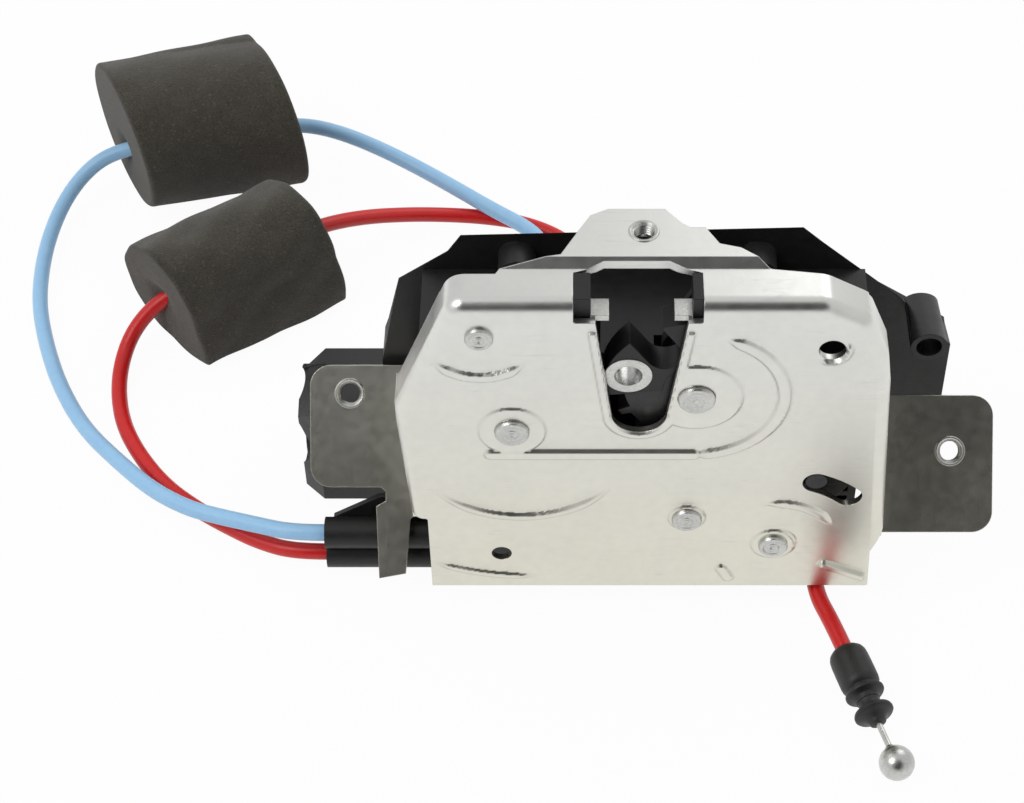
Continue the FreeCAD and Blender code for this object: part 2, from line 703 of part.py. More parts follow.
def rivets():
    rivet("catch_rivet", *catch_at, size.catch_axle, size.catch_head, size.emboss, tail=size.lever_axle_end)
    rivet("pawl_rivet", *pawl_at, size.pawl_axle, size.catch_axle, size.emboss)
    rivet("transfer_rivet", *transfer_at, size.small_axle, size.small_head, size.emboss)
    rivet("release_rivet", *release_at, size.small_axle, size.small_head, size.emboss)
    rivet("corner_rivet", *corner_at, size.small_axle, size.corner_head, 0, collar=size.small_axle + 1.2)


def guides():
    """Plastic guide blocks in the mouth and the steel lugs at the slot's shoulders."""
    left, right, back = size.mouth_left, size.mouth_right, size.mouth_depth
    low, high = height(size.mouth_rise - 1), height(size.plate_rise)
    seat = height(size.mouth_rise)
    front = size.plate_thick + 0.4
    blocks = [block("LeftGuide", -left, -left + 4.5, front, back, low, high),
              block("RightGuide", right - 2.7, right, front, back, low, high)]
    label(group("MouthGuides", blocks), "mouth_guides")
    lugs = [block("LeftLug", -left + 4.5, -8.5, size.plate_thick, 8, seat - 1, seat + 1),
            block("RightLug", 8.5, right - 2.7, size.plate_thick, 8, seat - 1, seat + 1)]
    label(group("GuideLugs", lugs), "guide_lugs")
    stop = polar(*catch_at, size.stop_reach, size.stop_angle)
    buffer = rod("CatchBuffer", size.stop_radius, size.back_front - size.plate_thick,
                 stop[0], size.plate_thick, stop[1])
    label(buffer, "catch_buffer")


# Catch and pawl


def throat(along, side):
    """A point of the catch's throat, from its distance along and across the throat."""
    forward, across = cosine(size.throat_angle), sine(size.throat_angle)
    return (catch_at[0] + along * forward - side * across, catch_at[1] + along * across + side * forward)


def throat_edge(radius, half, side):
    """Where the throat's edge crosses a circle about the catch's axle."""
    spread = math.degrees(math.asin(number(half) / number(radius)))
    bend = Size(spread, "(asin(%s / %s) / 1 deg)" % (formula(half), formula(radius)))
    return polar(*catch_at, radius, size.throat_angle + bend * side)


def jaw_arc(radius, start, end, middle):
    return [start, Arc(polar(*catch_at, radius, middle), catch_at), end]


def catch_outline():
    jaw, rim, hub = size.jaw_radius - size.coat, size.catch_radius, size.hub_radius
    half, bottom = size.throat_half, size.throat_floor
    outline = jaw_arc(jaw, polar(*catch_at, jaw, size.upper_jaw_end),
                      throat_edge(jaw, half, -1), size.upper_jaw_end + 14)
    outline += [throat(bottom + half, -half), Arc(throat(bottom, 0), throat(bottom + half, 0)),
                throat(bottom + half, half)]
    outline += jaw_arc(jaw, throat_edge(jaw, half, 1), polar(*catch_at, jaw, size.lower_jaw_end), 160)
    for start, wall, depth in ((size.notch_start_angle, size.notch_wall_angle, size.notch_depth),
                               (size.first_notch_start, size.first_notch_wall, size.first_notch_depth)):
        outline += [polar(*catch_at, rim, start - 2)]
        outline += around(*catch_at, rim - depth, start, wall)
        outline += [polar(*catch_at, rim, wall)]
    outline += [Arc(polar(*catch_at, rim, 264), catch_at), polar(*catch_at, rim, size.back_cut_angle)]
    outline += [polar(*catch_at, hub + 4.5, 330)]
    outline += around(*catch_at, hub, 350, 410)
    return outline


def catch():
    bore = (*catch_at, size.catch_axle + size.axle_gap)
    ring_at = polar(*catch_at, size.ring_reach, size.ring_angle)
    pin_hole = (*ring_at, size.ring_stem)
    front, thick = size.catch_front, size.catch_thick
    plate = front_plate("CatchPlate", catch_outline(), front, thick, [bore, pin_hole])
    label(plate, "catch_plate")
    jaw, half = size.jaw_radius, size.throat_half - size.coat
    bottom = size.throat_floor + size.coat
    inner = size.coat_inner
    outline = jaw_arc(jaw, polar(*catch_at, jaw, size.upper_jaw_end - 2),
                      throat_edge(jaw, half, -1), size.upper_jaw_end + 14)
    outline += [throat(bottom + half, -half), Arc(throat(bottom, 0), throat(bottom + half, 0)),
                throat(bottom + half, half)]
    outline += jaw_arc(jaw, throat_edge(jaw, half, 1), polar(*catch_at, jaw, size.lower_jaw_end + 2), 160)
    outline += [polar(*catch_at, inner, size.lower_jaw_end + 2),
                Arc(polar(*catch_at, inner, 130), catch_at), polar(*catch_at, inner, size.upper_jaw_end - 2)]
    skin = front_plate("CoatingSkin", outline, front - size.coat, thick + size.coat * 2)
    core = front_plate("CoatingCore", catch_outline(), front, thick)
    pin = rod("CoatingHole", size.ring_radius, thick + 4, ring_at[0], front - 2, ring_at[1])
    label(cut("CatchCoating", cut("CoatingShell", skin, core), pin), "catch_coating")
    head = rod("PinHead", size.ring_radius, size.coat + 0.2, ring_at[0], front - size.coat - 0.2, ring_at[1])
    stem = rod("PinStem", size.ring_stem, thick, ring_at[0], front, ring_at[1])
    rear = rod("PinRear", size.ring_radius, size.coat, ring_at[0], front + thick, ring_at[1])
    whole = fuse("PinBody", [head, stem, rear])
    hole = rod("PinBore", size.ring_bore, thick + 6, ring_at[0], front - 3, ring_at[1])
    label(cut("CatchPin", whole, hole), "catch_pin")


def pawl():
    clear, nose = size.jaw_radius + 2.8, size.catch_radius + size.pawl_gap
    under = clear + size.tail_width + 0.6
    start, end = size.pawl_nose_start, size.pawl_nose_end
    hub = size.pawl_hub
    outline = [
        (size.pawl_x + 1.5, pawl_at[1] + hub - 0.3), (size.pawl_x + 14, pawl_at[1] + 2.6),
        polar(*catch_at, clear + 0.8, 214), polar(*catch_at, clear, 228), polar(*catch_at, clear, 242),
        polar(*catch_at, clear, start - 1.5), polar(*catch_at, nose, start),
        Arc(polar(*catch_at, nose, 260), catch_at), polar(*catch_at, nose, end),
        polar(*catch_at, clear, end + 0.5), polar(*catch_at, clear + 0.6, size.tail_angle),
        polar(*catch_at, under - 1, size.tail_angle), polar(*catch_at, under, 262),
        polar(*catch_at, under + 1.5, 244), polar(*catch_at, under + 2.2, 230),
        (size.pawl_x + 12, pawl_at[1] - 10.5), (size.pawl_x + 3, pawl_at[1] - hub + 0.4),
        Arc((size.pawl_x - hub, pawl_at[1]), pawl_at),
    ]
    outline[0] = polar(*pawl_at, hub, 78)
    outline[-2] = polar(*pawl_at, hub, 282)
    pin = (size.pawl_pin_x, height(size.pawl_pin_rise))
    holes = [(*pawl_at, size.pawl_axle + size.axle_gap), (*pin, size.pawl_pin - 0.6)]
    body = front_plate("PawlPlate", outline, size.catch_front, size.catch_thick, holes)
    label(body, "pawl_plate")
    back = size.catch_front + size.catch_thick
    stem = rod("PawlPinStem", size.pawl_pin - 0.6, size.catch_thick, pin[0], size.catch_front, pin[1])
    head = rod("PawlPinHead", size.pawl_pin, size.back_front - back - 0.4, pin[0], back, pin[1])
    label(fuse("PawlPin", [stem, head]), "pawl_pin")


# Release levers


def lever(name, at, hub, arms, front, thick, bore):
    """A flat lever: a hub, and arms given by angle, reach and half width, round ended."""
    pieces = [rod(name + "Hub", hub, thick, at[0], front, at[1])]
    for angle, reach, half in arms:
        arm = primitive("Box", name + "Arm", Length=reach, Width=thick, Height=half * 2)
        shift = (half * sine(angle), -half * cosine(angle))
        place(arm, at[0] + shift[0], front, at[1] + shift[1], (0, -1, 0), number(angle))
        bind(arm, "Placement.Rotation.Angle", angle)
        tip = polar(*at, reach, angle)
        pieces += [arm, rod(name + "Tip", half, thick, tip[0], front, tip[1])]
    return drilled(name, fuse(name + "Blank", pieces), bore, front - 1, front + thick + 1, [at])


def levers():
    gap = size.axle_gap
    arms = [(size.transfer_left_angle, size.transfer_left_reach, size.transfer_half),
            (360 + size.transfer_right_angle, size.transfer_right_reach, size.transfer_half)]
    body = lever("TransferLever", transfer_at, size.transfer_hub, arms,
                 size.lever_front, size.lever_thick, size.small_axle + gap)
    label(body, "transfer_lever")
    rear = polar(*release_at, size.rear_pin_reach, size.rear_pin_angle)
    front = polar(*release_at, size.release_pin_reach, size.release_pin_angle)
    hook = polar(*release_at, size.wire_arm_reach, size.wire_arm_angle)
    arms = [(size.release_pin_angle, size.release_pin_reach, size.release_pin + 0.8),
            (size.rear_pin_angle, size.rear_pin_reach, size.rear_pin + 1.2),
            (360 + size.wire_arm_angle, size.wire_arm_reach, size.rear_pin + 1.2)]
    body = lever("ReleaseLever", release_at, size.release_hub, arms,
                 size.release_front, size.release_thick, size.small_axle + gap)
    label(body, "release_lever")
    back = size.release_front + size.release_thick
    pins = [rod("KidneyPin", size.release_pin, size.release_front - 0.5, front[0], 0.5, front[1]),
            rod("RearPin", size.rear_pin, size.back_front - back - 0.4, rear[0], back, rear[1])]
    label(group("LeverPins", pins), "lever_pins")
    nipple = rod("CableNipple", size.nipple_radius, 4, hook[0], back, hook[1])
    label(nipple, "cable_nipple")


# Springs and switches


def spring(name, at, start, radius, wire, turns, leg_angles, leg):
    """A torsion spring round an axle: close coils and two straight legs beside them."""
    pieces = []
    depths = [start + wire + wire * 2.05 * index for index in range(turns + 1)]
    for depth in depths:
        coil = primitive("Torus", name + "Coil", Radius1=radius, Radius2=wire)
        pieces.append(place(coil, at[0], depth, at[1], *toward_back))
    for angle, depth in zip(leg_angles, (depths[0], depths[-1])):
        run = (math.cos(math.radians(angle)), 0, math.sin(math.radians(angle)))
        pieces.append(rod_toward(name + "Leg", wire, leg, at[0] + radius + wire * 2.05, depth, at[1], run))
    return label(group(name, pieces), name)


def springs():
    start = size.catch_front + size.catch_thick + 0.25
    spring("catch_spring", catch_at, start, size.catch_axle + 1.2, 0.6, 2, (90, 270), 12)
    spring("pawl_spring", pawl_at, start, size.pawl_axle + 1.2, 0.6, 2, (90, 270), 9)
    start = size.release_front + size.release_thick + 0.5
    spring("release_spring", release_at, start, size.small_axle + 1.2, 0.6, 4, (90, 270), 7)


def switch(name, plunger, x0, x1, z0, z1, at, direction):
    """A closed switch body with a sprung plunger in its end face."""
    front, back = size.plate_thick + 1, size.back_front
    middle = (front + back) / 2
    body = block(name + "Body", x0, x1, front, back, z0, z1)
    travel = size.plunger_travel
    turn = FreeCAD.Rotation(Vector(0, 0, 1), Vector(*direction))
    inward = 4
    start = [at[0] - direction[0] * inward, middle, at[1] - direction[2] * inward]
    hole = rod_toward(name + "Bore", size.plunger_radius + 0.2, inward + 1, *start, direction)
    label(cut(name, body, hole), name)
    pin_start = [at[0] - direction[0] * (inward - travel - 0.4), middle,
                 at[1] - direction[2] * (inward - travel - 0.4)]
    length = inward - travel - 0.4 + travel + 1.6
    label(rod_toward(plunger, size.plunger_radius, length, *pin_start, direction), plunger)


def switches():
    switch("catch_switch", "catch_plunger", 44.5, 57.5, height(72), height(84),
           (44.5, height(79)), (-1, 0, 0))
    switch("pawl_switch", "pawl_plunger", -35, -21, height(36), height(48),
           (-26, height(48)), (0, 0, 1))


# Closing drive


def inset(points, distance):
    """The corners of a convex outline moved inwards by a distance."""
    count = len(points)
    sides = []
    for index in range(count):
        here, there = points[index], points[(index + 1) % count]
        run = math.hypot(there[0] - here[0], there[1] - here[1])
        along = ((there[0] - here[0]) / run, (there[1] - here[1]) / run)
        sides.append((here[0] + along[1] * distance, here[1] - along[0] * distance, along))
    moved = []
    for index in range(count):
        x0, z0, first = sides[index - 1]
        x1, z1, second = sides[index]
        across = first[0] * second[1] - first[1] * second[0]
        step = ((x1 - x0) * second[1] - (z1 - z0) * second[0]) / across
        moved.append((x0 + first[0] * step, z0 + first[1] * step))
    return moved


def plain(points):
    return [(number(x), number(z)) for x, z in points]


housing_screw_places = [(-45, 23), (49, 23), (-49, 76), (55, 60)]


def housing():
    """The moulded box behind the back plate: open in front, with screw bosses inside."""
    left, right = -size.housing_left, size.housing_right
    front, back = size.housing_front, size.housing_back
    low, high, wall = height(size.housing_low), height(size.housing_rise), size.shell
    outer = block("HousingBlock", left, right, front, back, low, high)
    sill = height(size.back_bottom - 2)
    deep = block("HousingDeep", left + wall, right - wall, front + wall, back - wall, low + wall, high - wall)
    mouth = block("HousingMouth", left + wall, right - wall, front, front + wall, sill, high - wall)
    hollow = cut("HousingHollow", outer, fuse("HousingCavity", [deep, mouth]))
    bosses = []
    for x, rise in housing_screw_places:
        z = height(rise)
        side = left + wall / 2 if x < 0 else right - wall / 2
        rib = block("HousingRib", side if x < 0 else x, x if x < 0 else side, front, front + 12, z - 1, z + 1)
        bosses += [rod("HousingBoss", size.screw_radius + 2.4, 12, x, front, z), rib]
    body = fuse("HousingBody", [hollow] + bosses)
    body = drilled("HousingDrilled", body, size.screw_radius, front - 1, front + 10,
                   [(x, height(rise)) for x, rise in housing_screw_places])
    axle = (size.wheel_x, height(size.wheel_rise))
    hole = rod("HousingAxle", size.axle_radius + size.axle_gap, wall + 4, axle[0], back - wall - 2, axle[1])
    notch = block("LeverNotch", size.catch_x - 11, size.catch_x + 11, front - 1, size.lever_axle_end + 0.6,
                  height(size.housing_rise - 14), height(size.housing_rise + 1))
    label(cut("Housing", body, fuse("HousingCuts", [hole, notch])), "housing")
    screws = []
    for x, rise in housing_screw_places:
        screws.append(screw("HousingScrew", x, height(rise), size.back_front, 9, size.screw_radius))
    label(group("HousingScrews", screws), "housing_screws")


def screw(name, x, z, seat, length, radius, away=-1):
    """A pan head screw whose head sits on the plane at depth seat, in front or behind."""
    thick = radius * 0.9
    head = rod(name + "Head", radius * 1.9, thick, x, seat - thick if away < 0 else seat, z)
    shank = rod(name + "Shank", radius, length, x, seat if away < 0 else seat - length, z)
    slot = radius * 0.8
    start = seat - thick if away < 0 else seat + thick * 0.45
    recess = primitive("Prism", name + "Recess", Circumradius=slot, Height=thick * 0.55)
    recess.Polygon = 6
    place(recess, x, start, z, *toward_back)
    return cut(name, fuse(name + "Body", [head, shank]), recess)


case_outline = [
    (-73.5, 45), (-66.9, 79.4), (-52.7, 90.2), (-48.9, 96.3), (45.6, 99.3),
    (51.6, 93.4), (74.4, 72.2), (91.5, 52), (91.5, 30), (80, 4), (66, -9), (-62, -9), (-73.5, 2),
]


def case_points():
    return [(x, height(z)) for x, z in case_outline]


def drive_case():
    """The shell of the closing drive with its motor sleeve, eye and screw bosses."""
    front, thick, wall = size.housing_back, size.case_thick, size.shell
    shell = front_plate("CaseShell", case_points(), front, thick)
    inner = [(x, z) for x, z in inset(plain(case_points()), number(wall))]
    sketch = sketch_on(shell, "XZ_Plane", -(front + thick))
    draw(sketch, inner)
    feature(shell, "Pocket", sketch, thick - wall, backwards=True)
    motor_z = size.motor_height / 2
    motor_y = size.motor_front + size.motor_depth / 2
    sleeve = block("MotorSleeve", -size.motor_left, -size.motor_right, size.motor_front,
                   size.motor_front + size.motor_depth, 0, size.motor_height)
    chamfer = doc.addObject("Part::Chamfer", "SleeveChamfer")
    doc.recompute()
    edges = []
    far = -number(size.motor_left)
    for index, edge in enumerate(sleeve.Shape.Edges):
        middle = edge.valueAt((edge.FirstParameter + edge.LastParameter) / 2)
        if abs(middle.x - far) < 1e-6 and middle.z > 1:
            edges.append((index + 1, 6, 6))
    chamfer.Base = sleeve
    chamfer.Edges = edges
    eye_z = height(size.eye_rise)
    eye = rod("CaseEye", size.eye_radius, size.eye_length, size.eye_x, front - size.eye_length, eye_z)
    web = block("EyeWeb", size.eye_x - 6, size.eye_x + 3, front, front + 6, eye_z - 14, eye_z)
    post = rod("EyePost", size.eye_radius, 6, size.eye_x, front, eye_z)
    bosses = [rod("CaseBoss", size.screw_boss_radius, size.boss_length, x, front - size.boss_length,
                  height(size.screw_boss_rise)) for x in (-size.screw_boss_x, size.screw_boss_x)]
    for x, rise in cover_screw_places:
        bosses.append(rod("CoverBoss", size.screw_radius + 2.2, size.case_thick, x, front, height(rise)))
    whole = fuse("CaseWhole", [shell, chamfer, eye, web, post] + bosses)
    cans = [rod("MotorBore", size.motor_radius, size.motor_length + 8, -size.motor_left + size.cap_thick + 4,
                motor_y, motor_z, toward_right),
            rod("MotorMouth", size.motor_radius + 1, size.cap_thick + 4, -size.motor_left,
                motor_y, motor_z, toward_right)]
    axle = (size.wheel_x, height(size.wheel_rise))
    cans.append(rod("CaseAxle", size.axle_radius + size.axle_gap, wall + 2, axle[0], front - 1, axle[1]))
    cans.append(rod("EyeBore", size.eye_bore, size.eye_length + 8, size.eye_x, front - size.eye_length - 1, eye_z))
    for x in (-size.screw_boss_x, size.screw_boss_x):
        cans.append(rod("CaseScrewHole", size.screw_radius, size.boss_length + 4, x,
                        front - size.boss_length - 1, height(size.screw_boss_rise)))
    for x, rise in cover_screw_places:
        cans.append(rod("CoverScrewHole", size.screw_radius, 8, x, front + thick - 7, height(rise)))
    label(cut("DriveCase", whole, fuse("CaseCuts", cans)), "drive_case")
    screws = [screw("CaseScrew", x, height(size.screw_boss_rise), front - size.boss_length, 12, size.screw_radius)
              for x in (-size.screw_boss_x, size.screw_boss_x)]
    label(group("CaseScrews", screws), "case_screws")


def drive_cover():
    """The rear lid with the dome over the wheel and the ridge over the worm."""
    front = size.housing_back + size.case_thick
    wall = size.shell
    lid = front_plate("CoverLid", case_points(), front, wall)
    axle = (size.wheel_x, height(size.wheel_rise))
    worm_z = size.motor_height / 2
    motor_y = size.motor_front + size.motor_depth / 2
    dome = rod("CoverDome", size.dome_radius, size.dome_depth, axle[0], front, axle[1])
    ridge_back = motor_y + size.worm_radius + size.worm_room + wall
    ridge_side = size.worm_radius + size.worm_side + wall
    ridge = block("CoverRidge", size.wheel_x - size.ridge_half, size.wheel_x + size.ridge_half, front,
                  ridge_back, worm_z - ridge_side, worm_z + ridge_side)
    outside = fuse("CoverOutside", [lid, dome, ridge])
    inside = [rod("CoverDomeInside", size.dome_radius - wall, size.dome_depth - wall, axle[0], front, axle[1]),
              block("CoverRidgeInside", size.wheel_x - size.ridge_half + wall,
                    size.wheel_x + size.ridge_half - wall, front, ridge_back - wall,
                    worm_z - ridge_side + wall, worm_z + ridge_side - wall),
              block("CoverSleeveCut", -size.motor_left, -size.motor_right, front - 1, front + 40,
                    0, size.motor_height)]
    socket = connector_place()
    inside.append(block("CoverSocketCut", socket[0], socket[1], front - 1, front + 10, socket[2], socket[3]))
    for x, rise in cover_screw_places:
        inside.append(rod("CoverHole", size.screw_radius, wall + 2, x, front - 1, height(rise)))
    for x, z in rear_entries:
        inside.append(rod("CoverEntry", size.entry_radius, wall + 2, x, front - 1, z))
    label(cut("DriveCover", outside, fuse("CoverCuts", inside)), "drive_cover")
    screws = [screw("CoverScrew", x, height(rise), front + wall, 8, size.screw_radius, away=1)
              for x, rise in cover_screw_places]
    label(group("CoverScrews", screws), "cover_screws")
    bushes = []
    for x, z in rear_entries:
        flange = rod("EntryFlange", size.entry_radius + 1.4, 2, x, front + wall, z)
        neck = rod("EntryNeck", size.entry_radius, wall, x, front, z)
        nose = rod("EntryNose", size.entry_radius - 0.4, 6, x, front + wall + 2, z)
        bushes.append(fuse("EntryBush", [flange, neck, nose]))
    label(group("EntryBushes", bushes), "entry_bushes")


cover_screw_places = [(-60, 74), (-36, -3), (56, -2), (82, 44), (40, 92), (-42, 90)]


def connector_place():
    x, z = 57, height(20)
    return (x, x + 20, z, z + 14)


def connector():
    """The socket for the vehicle's loom: an open shroud with four blade pins."""
    x0, x1, z0, z1 = connector_place()
    front = size.housing_back + size.case_thick
    depth = 13
    outer = block("SocketOuter", x0, x1, front - 3, front + depth, z0, z1)
    inner = block("SocketInner", x0 + 1.6, x1 - 1.6, front + 1, front + depth, z0 + 1.6, z1 - 1.6)
    label(cut("ConnectorSocket", outer, inner), "connector_socket")
    pins = []
    for index in range(4):
        x = x0 + 3.6 + index * 3.9
        pins.append(block("SocketPin", x, x + 1.1, front + 1, front + 9, z0 + 5, z0 + 7))
    label(group("ConnectorPins", pins), "connector_pins")


def motor():
    """The motor can, its end cap, and the worm on the motor's shaft."""
    y = size.motor_front + size.motor_depth / 2
    z = size.motor_height / 2
    start = -size.motor_left + size.cap_thick + 4
    gap = size.axle_gap
    can = rod("MotorCan", size.motor_radius, size.motor_length, start, y, z, toward_right)
    bearing = rod("MotorBearing", 5, 0.8, start + size.motor_length, y, z, toward_right)
    bore = rod("MotorShaftBore", size.shaft_radius + gap, 12, start + size.motor_length - 8, y, z, toward_right)
    label(cut("MotorCanBored", fuse("MotorBody", [can, bearing]), bore), "motor_can")
    cap = rod("MotorCap", size.motor_radius + 1, size.cap_thick + 2, start - size.cap_thick - 2, y, z, toward_right)
    label(cap, "motor_cap")
    shaft_start = start + size.motor_length - 6
    shaft_end = size.wheel_x + size.worm_length / 2 + 7
    shaft = rod("WormShaft", size.shaft_radius, shaft_end - shaft_start, shaft_start, y, z, toward_right)
    worm = rod("Worm", size.worm_radius, size.worm_length, size.wheel_x - size.worm_length / 2, y, z, toward_right)
    label(fuse("WormOnShaft", [shaft, worm]), "worm_shaft")
    bushes = []
    wall = size.shell
    front = size.housing_back + wall
    for x in (size.wheel_x - size.worm_length / 2 - 6, size.wheel_x + size.worm_length / 2 + 2):
        stand = block("BushStand", x, x + 4, front, y + 4, z - 5, z + 5)
        hole = rod("BushHole", size.shaft_radius + gap, 8, x - 2, y, z, toward_right)
        bushes.append(cut("WormBush", stand, hole))
    label(group("WormBushes", bushes), "worm_bushes")


def drive_wheel():
    """The worm wheel, its axle, and the pinion that turns the closing lever."""
    at = (size.wheel_x, height(size.wheel_rise))
    y = size.motor_front + size.motor_depth / 2
    front = y - size.wheel_thick / 2
    root = size.wheel_radius - size.tooth_depth
    teeth = int(number(size.wheel_teeth))
    pitch = 360.0 / teeth
    outline = []
    for index in range(teeth):
        turn = index * pitch
        outline += [polar(*at, root, turn), polar(*at, root, turn + pitch * 0.34),
                    polar(*at, size.wheel_radius, turn + pitch * 0.5),
                    polar(*at, size.wheel_radius, turn + pitch * 0.82)]
    wheel = front_plate("DriveWheel", outline, front, size.wheel_thick, [(*at, size.axle_radius)])
    label(wheel, "drive_wheel")
    start = size.pinion_front
    end = size.housing_back + size.case_thick + size.dome_depth - size.shell - 0.4
    label(rod("WheelAxle", size.axle_radius, end - start, at[0], start, at[1]), "wheel_axle")
    pinion = drilled("DrivePinion", rod("PinionBlank", size.pinion_radius - size.roll_gap, size.pinion_thick,
                     at[0], size.pinion_front, at[1]), size.axle_radius, size.pinion_front - 1,
                     size.pinion_front + size.pinion_thick + 1, [at])
    label(pinion, "drive_pinion")


def closing_lever():
    """The lever behind the catch: a hub on the catch rivet's tail and a drive sector."""
    front, thick = size.pinion_front, size.pinion_thick
    reach = size.sector_radius
    outline = [polar(*catch_at, 9, 200)]
    outline += [polar(*catch_at, reach, 232)]
    outline += [Arc(polar(*catch_at, reach, 262), catch_at), polar(*catch_at, reach, 292)]
    outline += [polar(*catch_at, 9, 330)]
    outline += [Arc(polar(*catch_at, 9, 85), catch_at)]
    body = front_plate("ClosingLever", outline, front, thick, [(*catch_at, size.catch_axle + size.axle_gap)])
    return label(body, "closing_lever")


# Cables


def route(points):
    """Straight runs joined by tangent arcs, each arc as large as its two runs allow."""
    places = [vector(*point) for point in points]
    edges = []
    radii = []
    start = places[0]
    for index in range(1, len(places) - 1):
        here = places[index]
        before = places[index - 1] - here
        after = places[index + 1] - here
        shorter = min(before.Length, after.Length) * 0.45
        before.normalize()
        after.normalize()
        turn = math.pi - before.getAngle(after)
        radius = shorter / math.tan(turn / 2)
        radii.append(radius)
        enter = here + before * shorter
        leave = here + after * shorter
        bisector = before + after
        bisector.normalize()
        depth = radius / math.cos(turn / 2) - radius
        edges.append(Part.LineSegment(start, enter).toShape())
        edges.append(Part.Arc(enter, here + bisector * depth, leave).toShape())
        start = leave
    edges.append(Part.LineSegment(start, places[-1]).toShape())
    return Part.Wire(edges), radii


def cord(name, points, radius):
    path, radii = route(points)
    first = vector(*points[1]) - vector(*points[0])
    ring = Part.Wire([Part.Circle(vector(*points[0]), first, number(radius)).toShape()])
    shape = path.makePipeShell([ring], True, False)
    piece = doc.addObject("Part::Feature", name)
    piece.Shape = shape
    expected = math.pi * number(radius) ** 2 * path.Length
    print("%s: length %.1f, radii %s, volume %.1f of %.1f" % (
        name, path.Length, [round(value) for value in radii], shape.Volume, expected))
    return label(piece, name)


rear_entries = [(-28, 13), (-15, 6.5)]
rear_mouth = size.housing_back + size.case_thick + size.shell + 8
gland_high = height(size.gland_low_rise + size.gland_pitch)
gland_low = height(size.gland_low_rise)
blue_route = [
    (-size.gland_left, size.gland_depth, gland_high),
    (-size.gland_left - 10, size.gland_depth, gland_high), (-113, 20.5, 12), (-124, 25, 10),
    (-134, 29.3, 8.6), (-146, 38, 6.8), (-158.5, 51.5, 4.4), (-171, 66.2, 2.5), (-181, 83.7, 2.5),
    (-188, 101.7, 2.5), (-193, 119.7, 2.5), (-194.6, 136.7, 2.5), (-193.8, 150.5, 4), (-190.3, 162.5, 7.8),
    (-184, 171.5, 12.6), (-175.5, 176, 17.4), (-163.5, 177.6, 20.2), (-145, 181, 20.7),
    (-127, 185.4, 20.7), (-111, 189, 19.6), (-99, 188.8, 16.6), (-86, 186.3, 12), (-71.5, 179.6, 8.6),
    (-57.5, 169.2, 8), (-45, 158.6, 8.4), (-34.5, 151, 8.4), (-28.6, 144, 8.6), (-25.8, 133, 9.6),
    (-26.4, 119, 11), (-28, 104, 12.6), (-28, 87, 13), (-28, rear_mouth, 13),
]
red_route = [
    (-size.gland_left, size.gland_depth, gland_low), (-size.gland_left - 10, size.gland_depth, gland_low),
    (-112, 20.8, 3.1), (-122, 27, 2.5), (-132, 33.6, 2.5), (-143, 42.8, 2.5),
    (-152, 54.7, 2.5), (-158.6, 67, 2.5), (-162, 80, 2.5), (-162.6, 92, 3.6), (-159.8, 101.4, 8),
    (-153.6, 106.8, 14), (-145.4, 110.4, 18.6), (-135, 115.6, 20.4), (-121, 125, 20.4),
    (-108, 135.2, 19.8), (-98, 143.4, 17), (-86.5, 151, 12.6), (-73, 157.2, 7.6), (-60, 160.7, 4),
    (-48, 161.2, 2.5), (-36, 158.8, 2.5), (-24.5, 153.2, 2.5), (-16, 145, 2.5), (-11.4, 134, 2.6),
    (-11.2, 120, 3.2), (-13.6, 104, 5), (-15, 87, 6.5), (-15, rear_mouth, 6.5),
]
release_route = [(53.2, 8.5, 5), (53.4, 0.4, 4.9), (57.56, -11.43, 5.8), (60.6, -21.5, 5.8)]


def gland():
    """Two cable barrels on the housing's side and the steel bracket that holds them."""
    low = height(size.gland_low_rise)
    barrels = []
    run = size.gland_left - size.housing_left
    for index in range(2):
        z = low + size.gland_pitch * index
        barrel = rod("GlandBarrel", size.gland_radius, run, -size.gland_left, size.gland_depth, z, toward_right)
        barrels.append(barrel)
    web = block("GlandWeb", -size.gland_left + 2, -size.housing_left, size.gland_depth, size.gland_depth + 3,
                low, low + size.gland_pitch)
    label(fuse("CableGland", barrels + [web]), "cable_gland")
    bracket = front_plate("GlandBracket", [
        (-89, height(4.5)), (-75, height(13.8)), (-size.housing_left, height(16)), (-size.housing_left, height(3))],
        size.gland_depth + size.gland_radius + 1.7, 1.5)
    label(bracket, "gland_bracket")


def cables():
    cord("blue_cable", blue_route, size.cable_radius)
    cord("red_cable", red_route, size.cable_radius)
    upper = rod_toward("FoamUpper", size.foam_radius, size.foam_length, -166.5, 177.4, size.foam_radius,
                       (52, 12, 0))
    label(upper, "foam_upper")
    lower = rod_toward("FoamLower", size.foam_radius - 0.5, size.foam_length, -144.6, 109.2,
                       size.foam_radius - 0.5, (43, 31, 0))
    label(lower, "foam_lower")


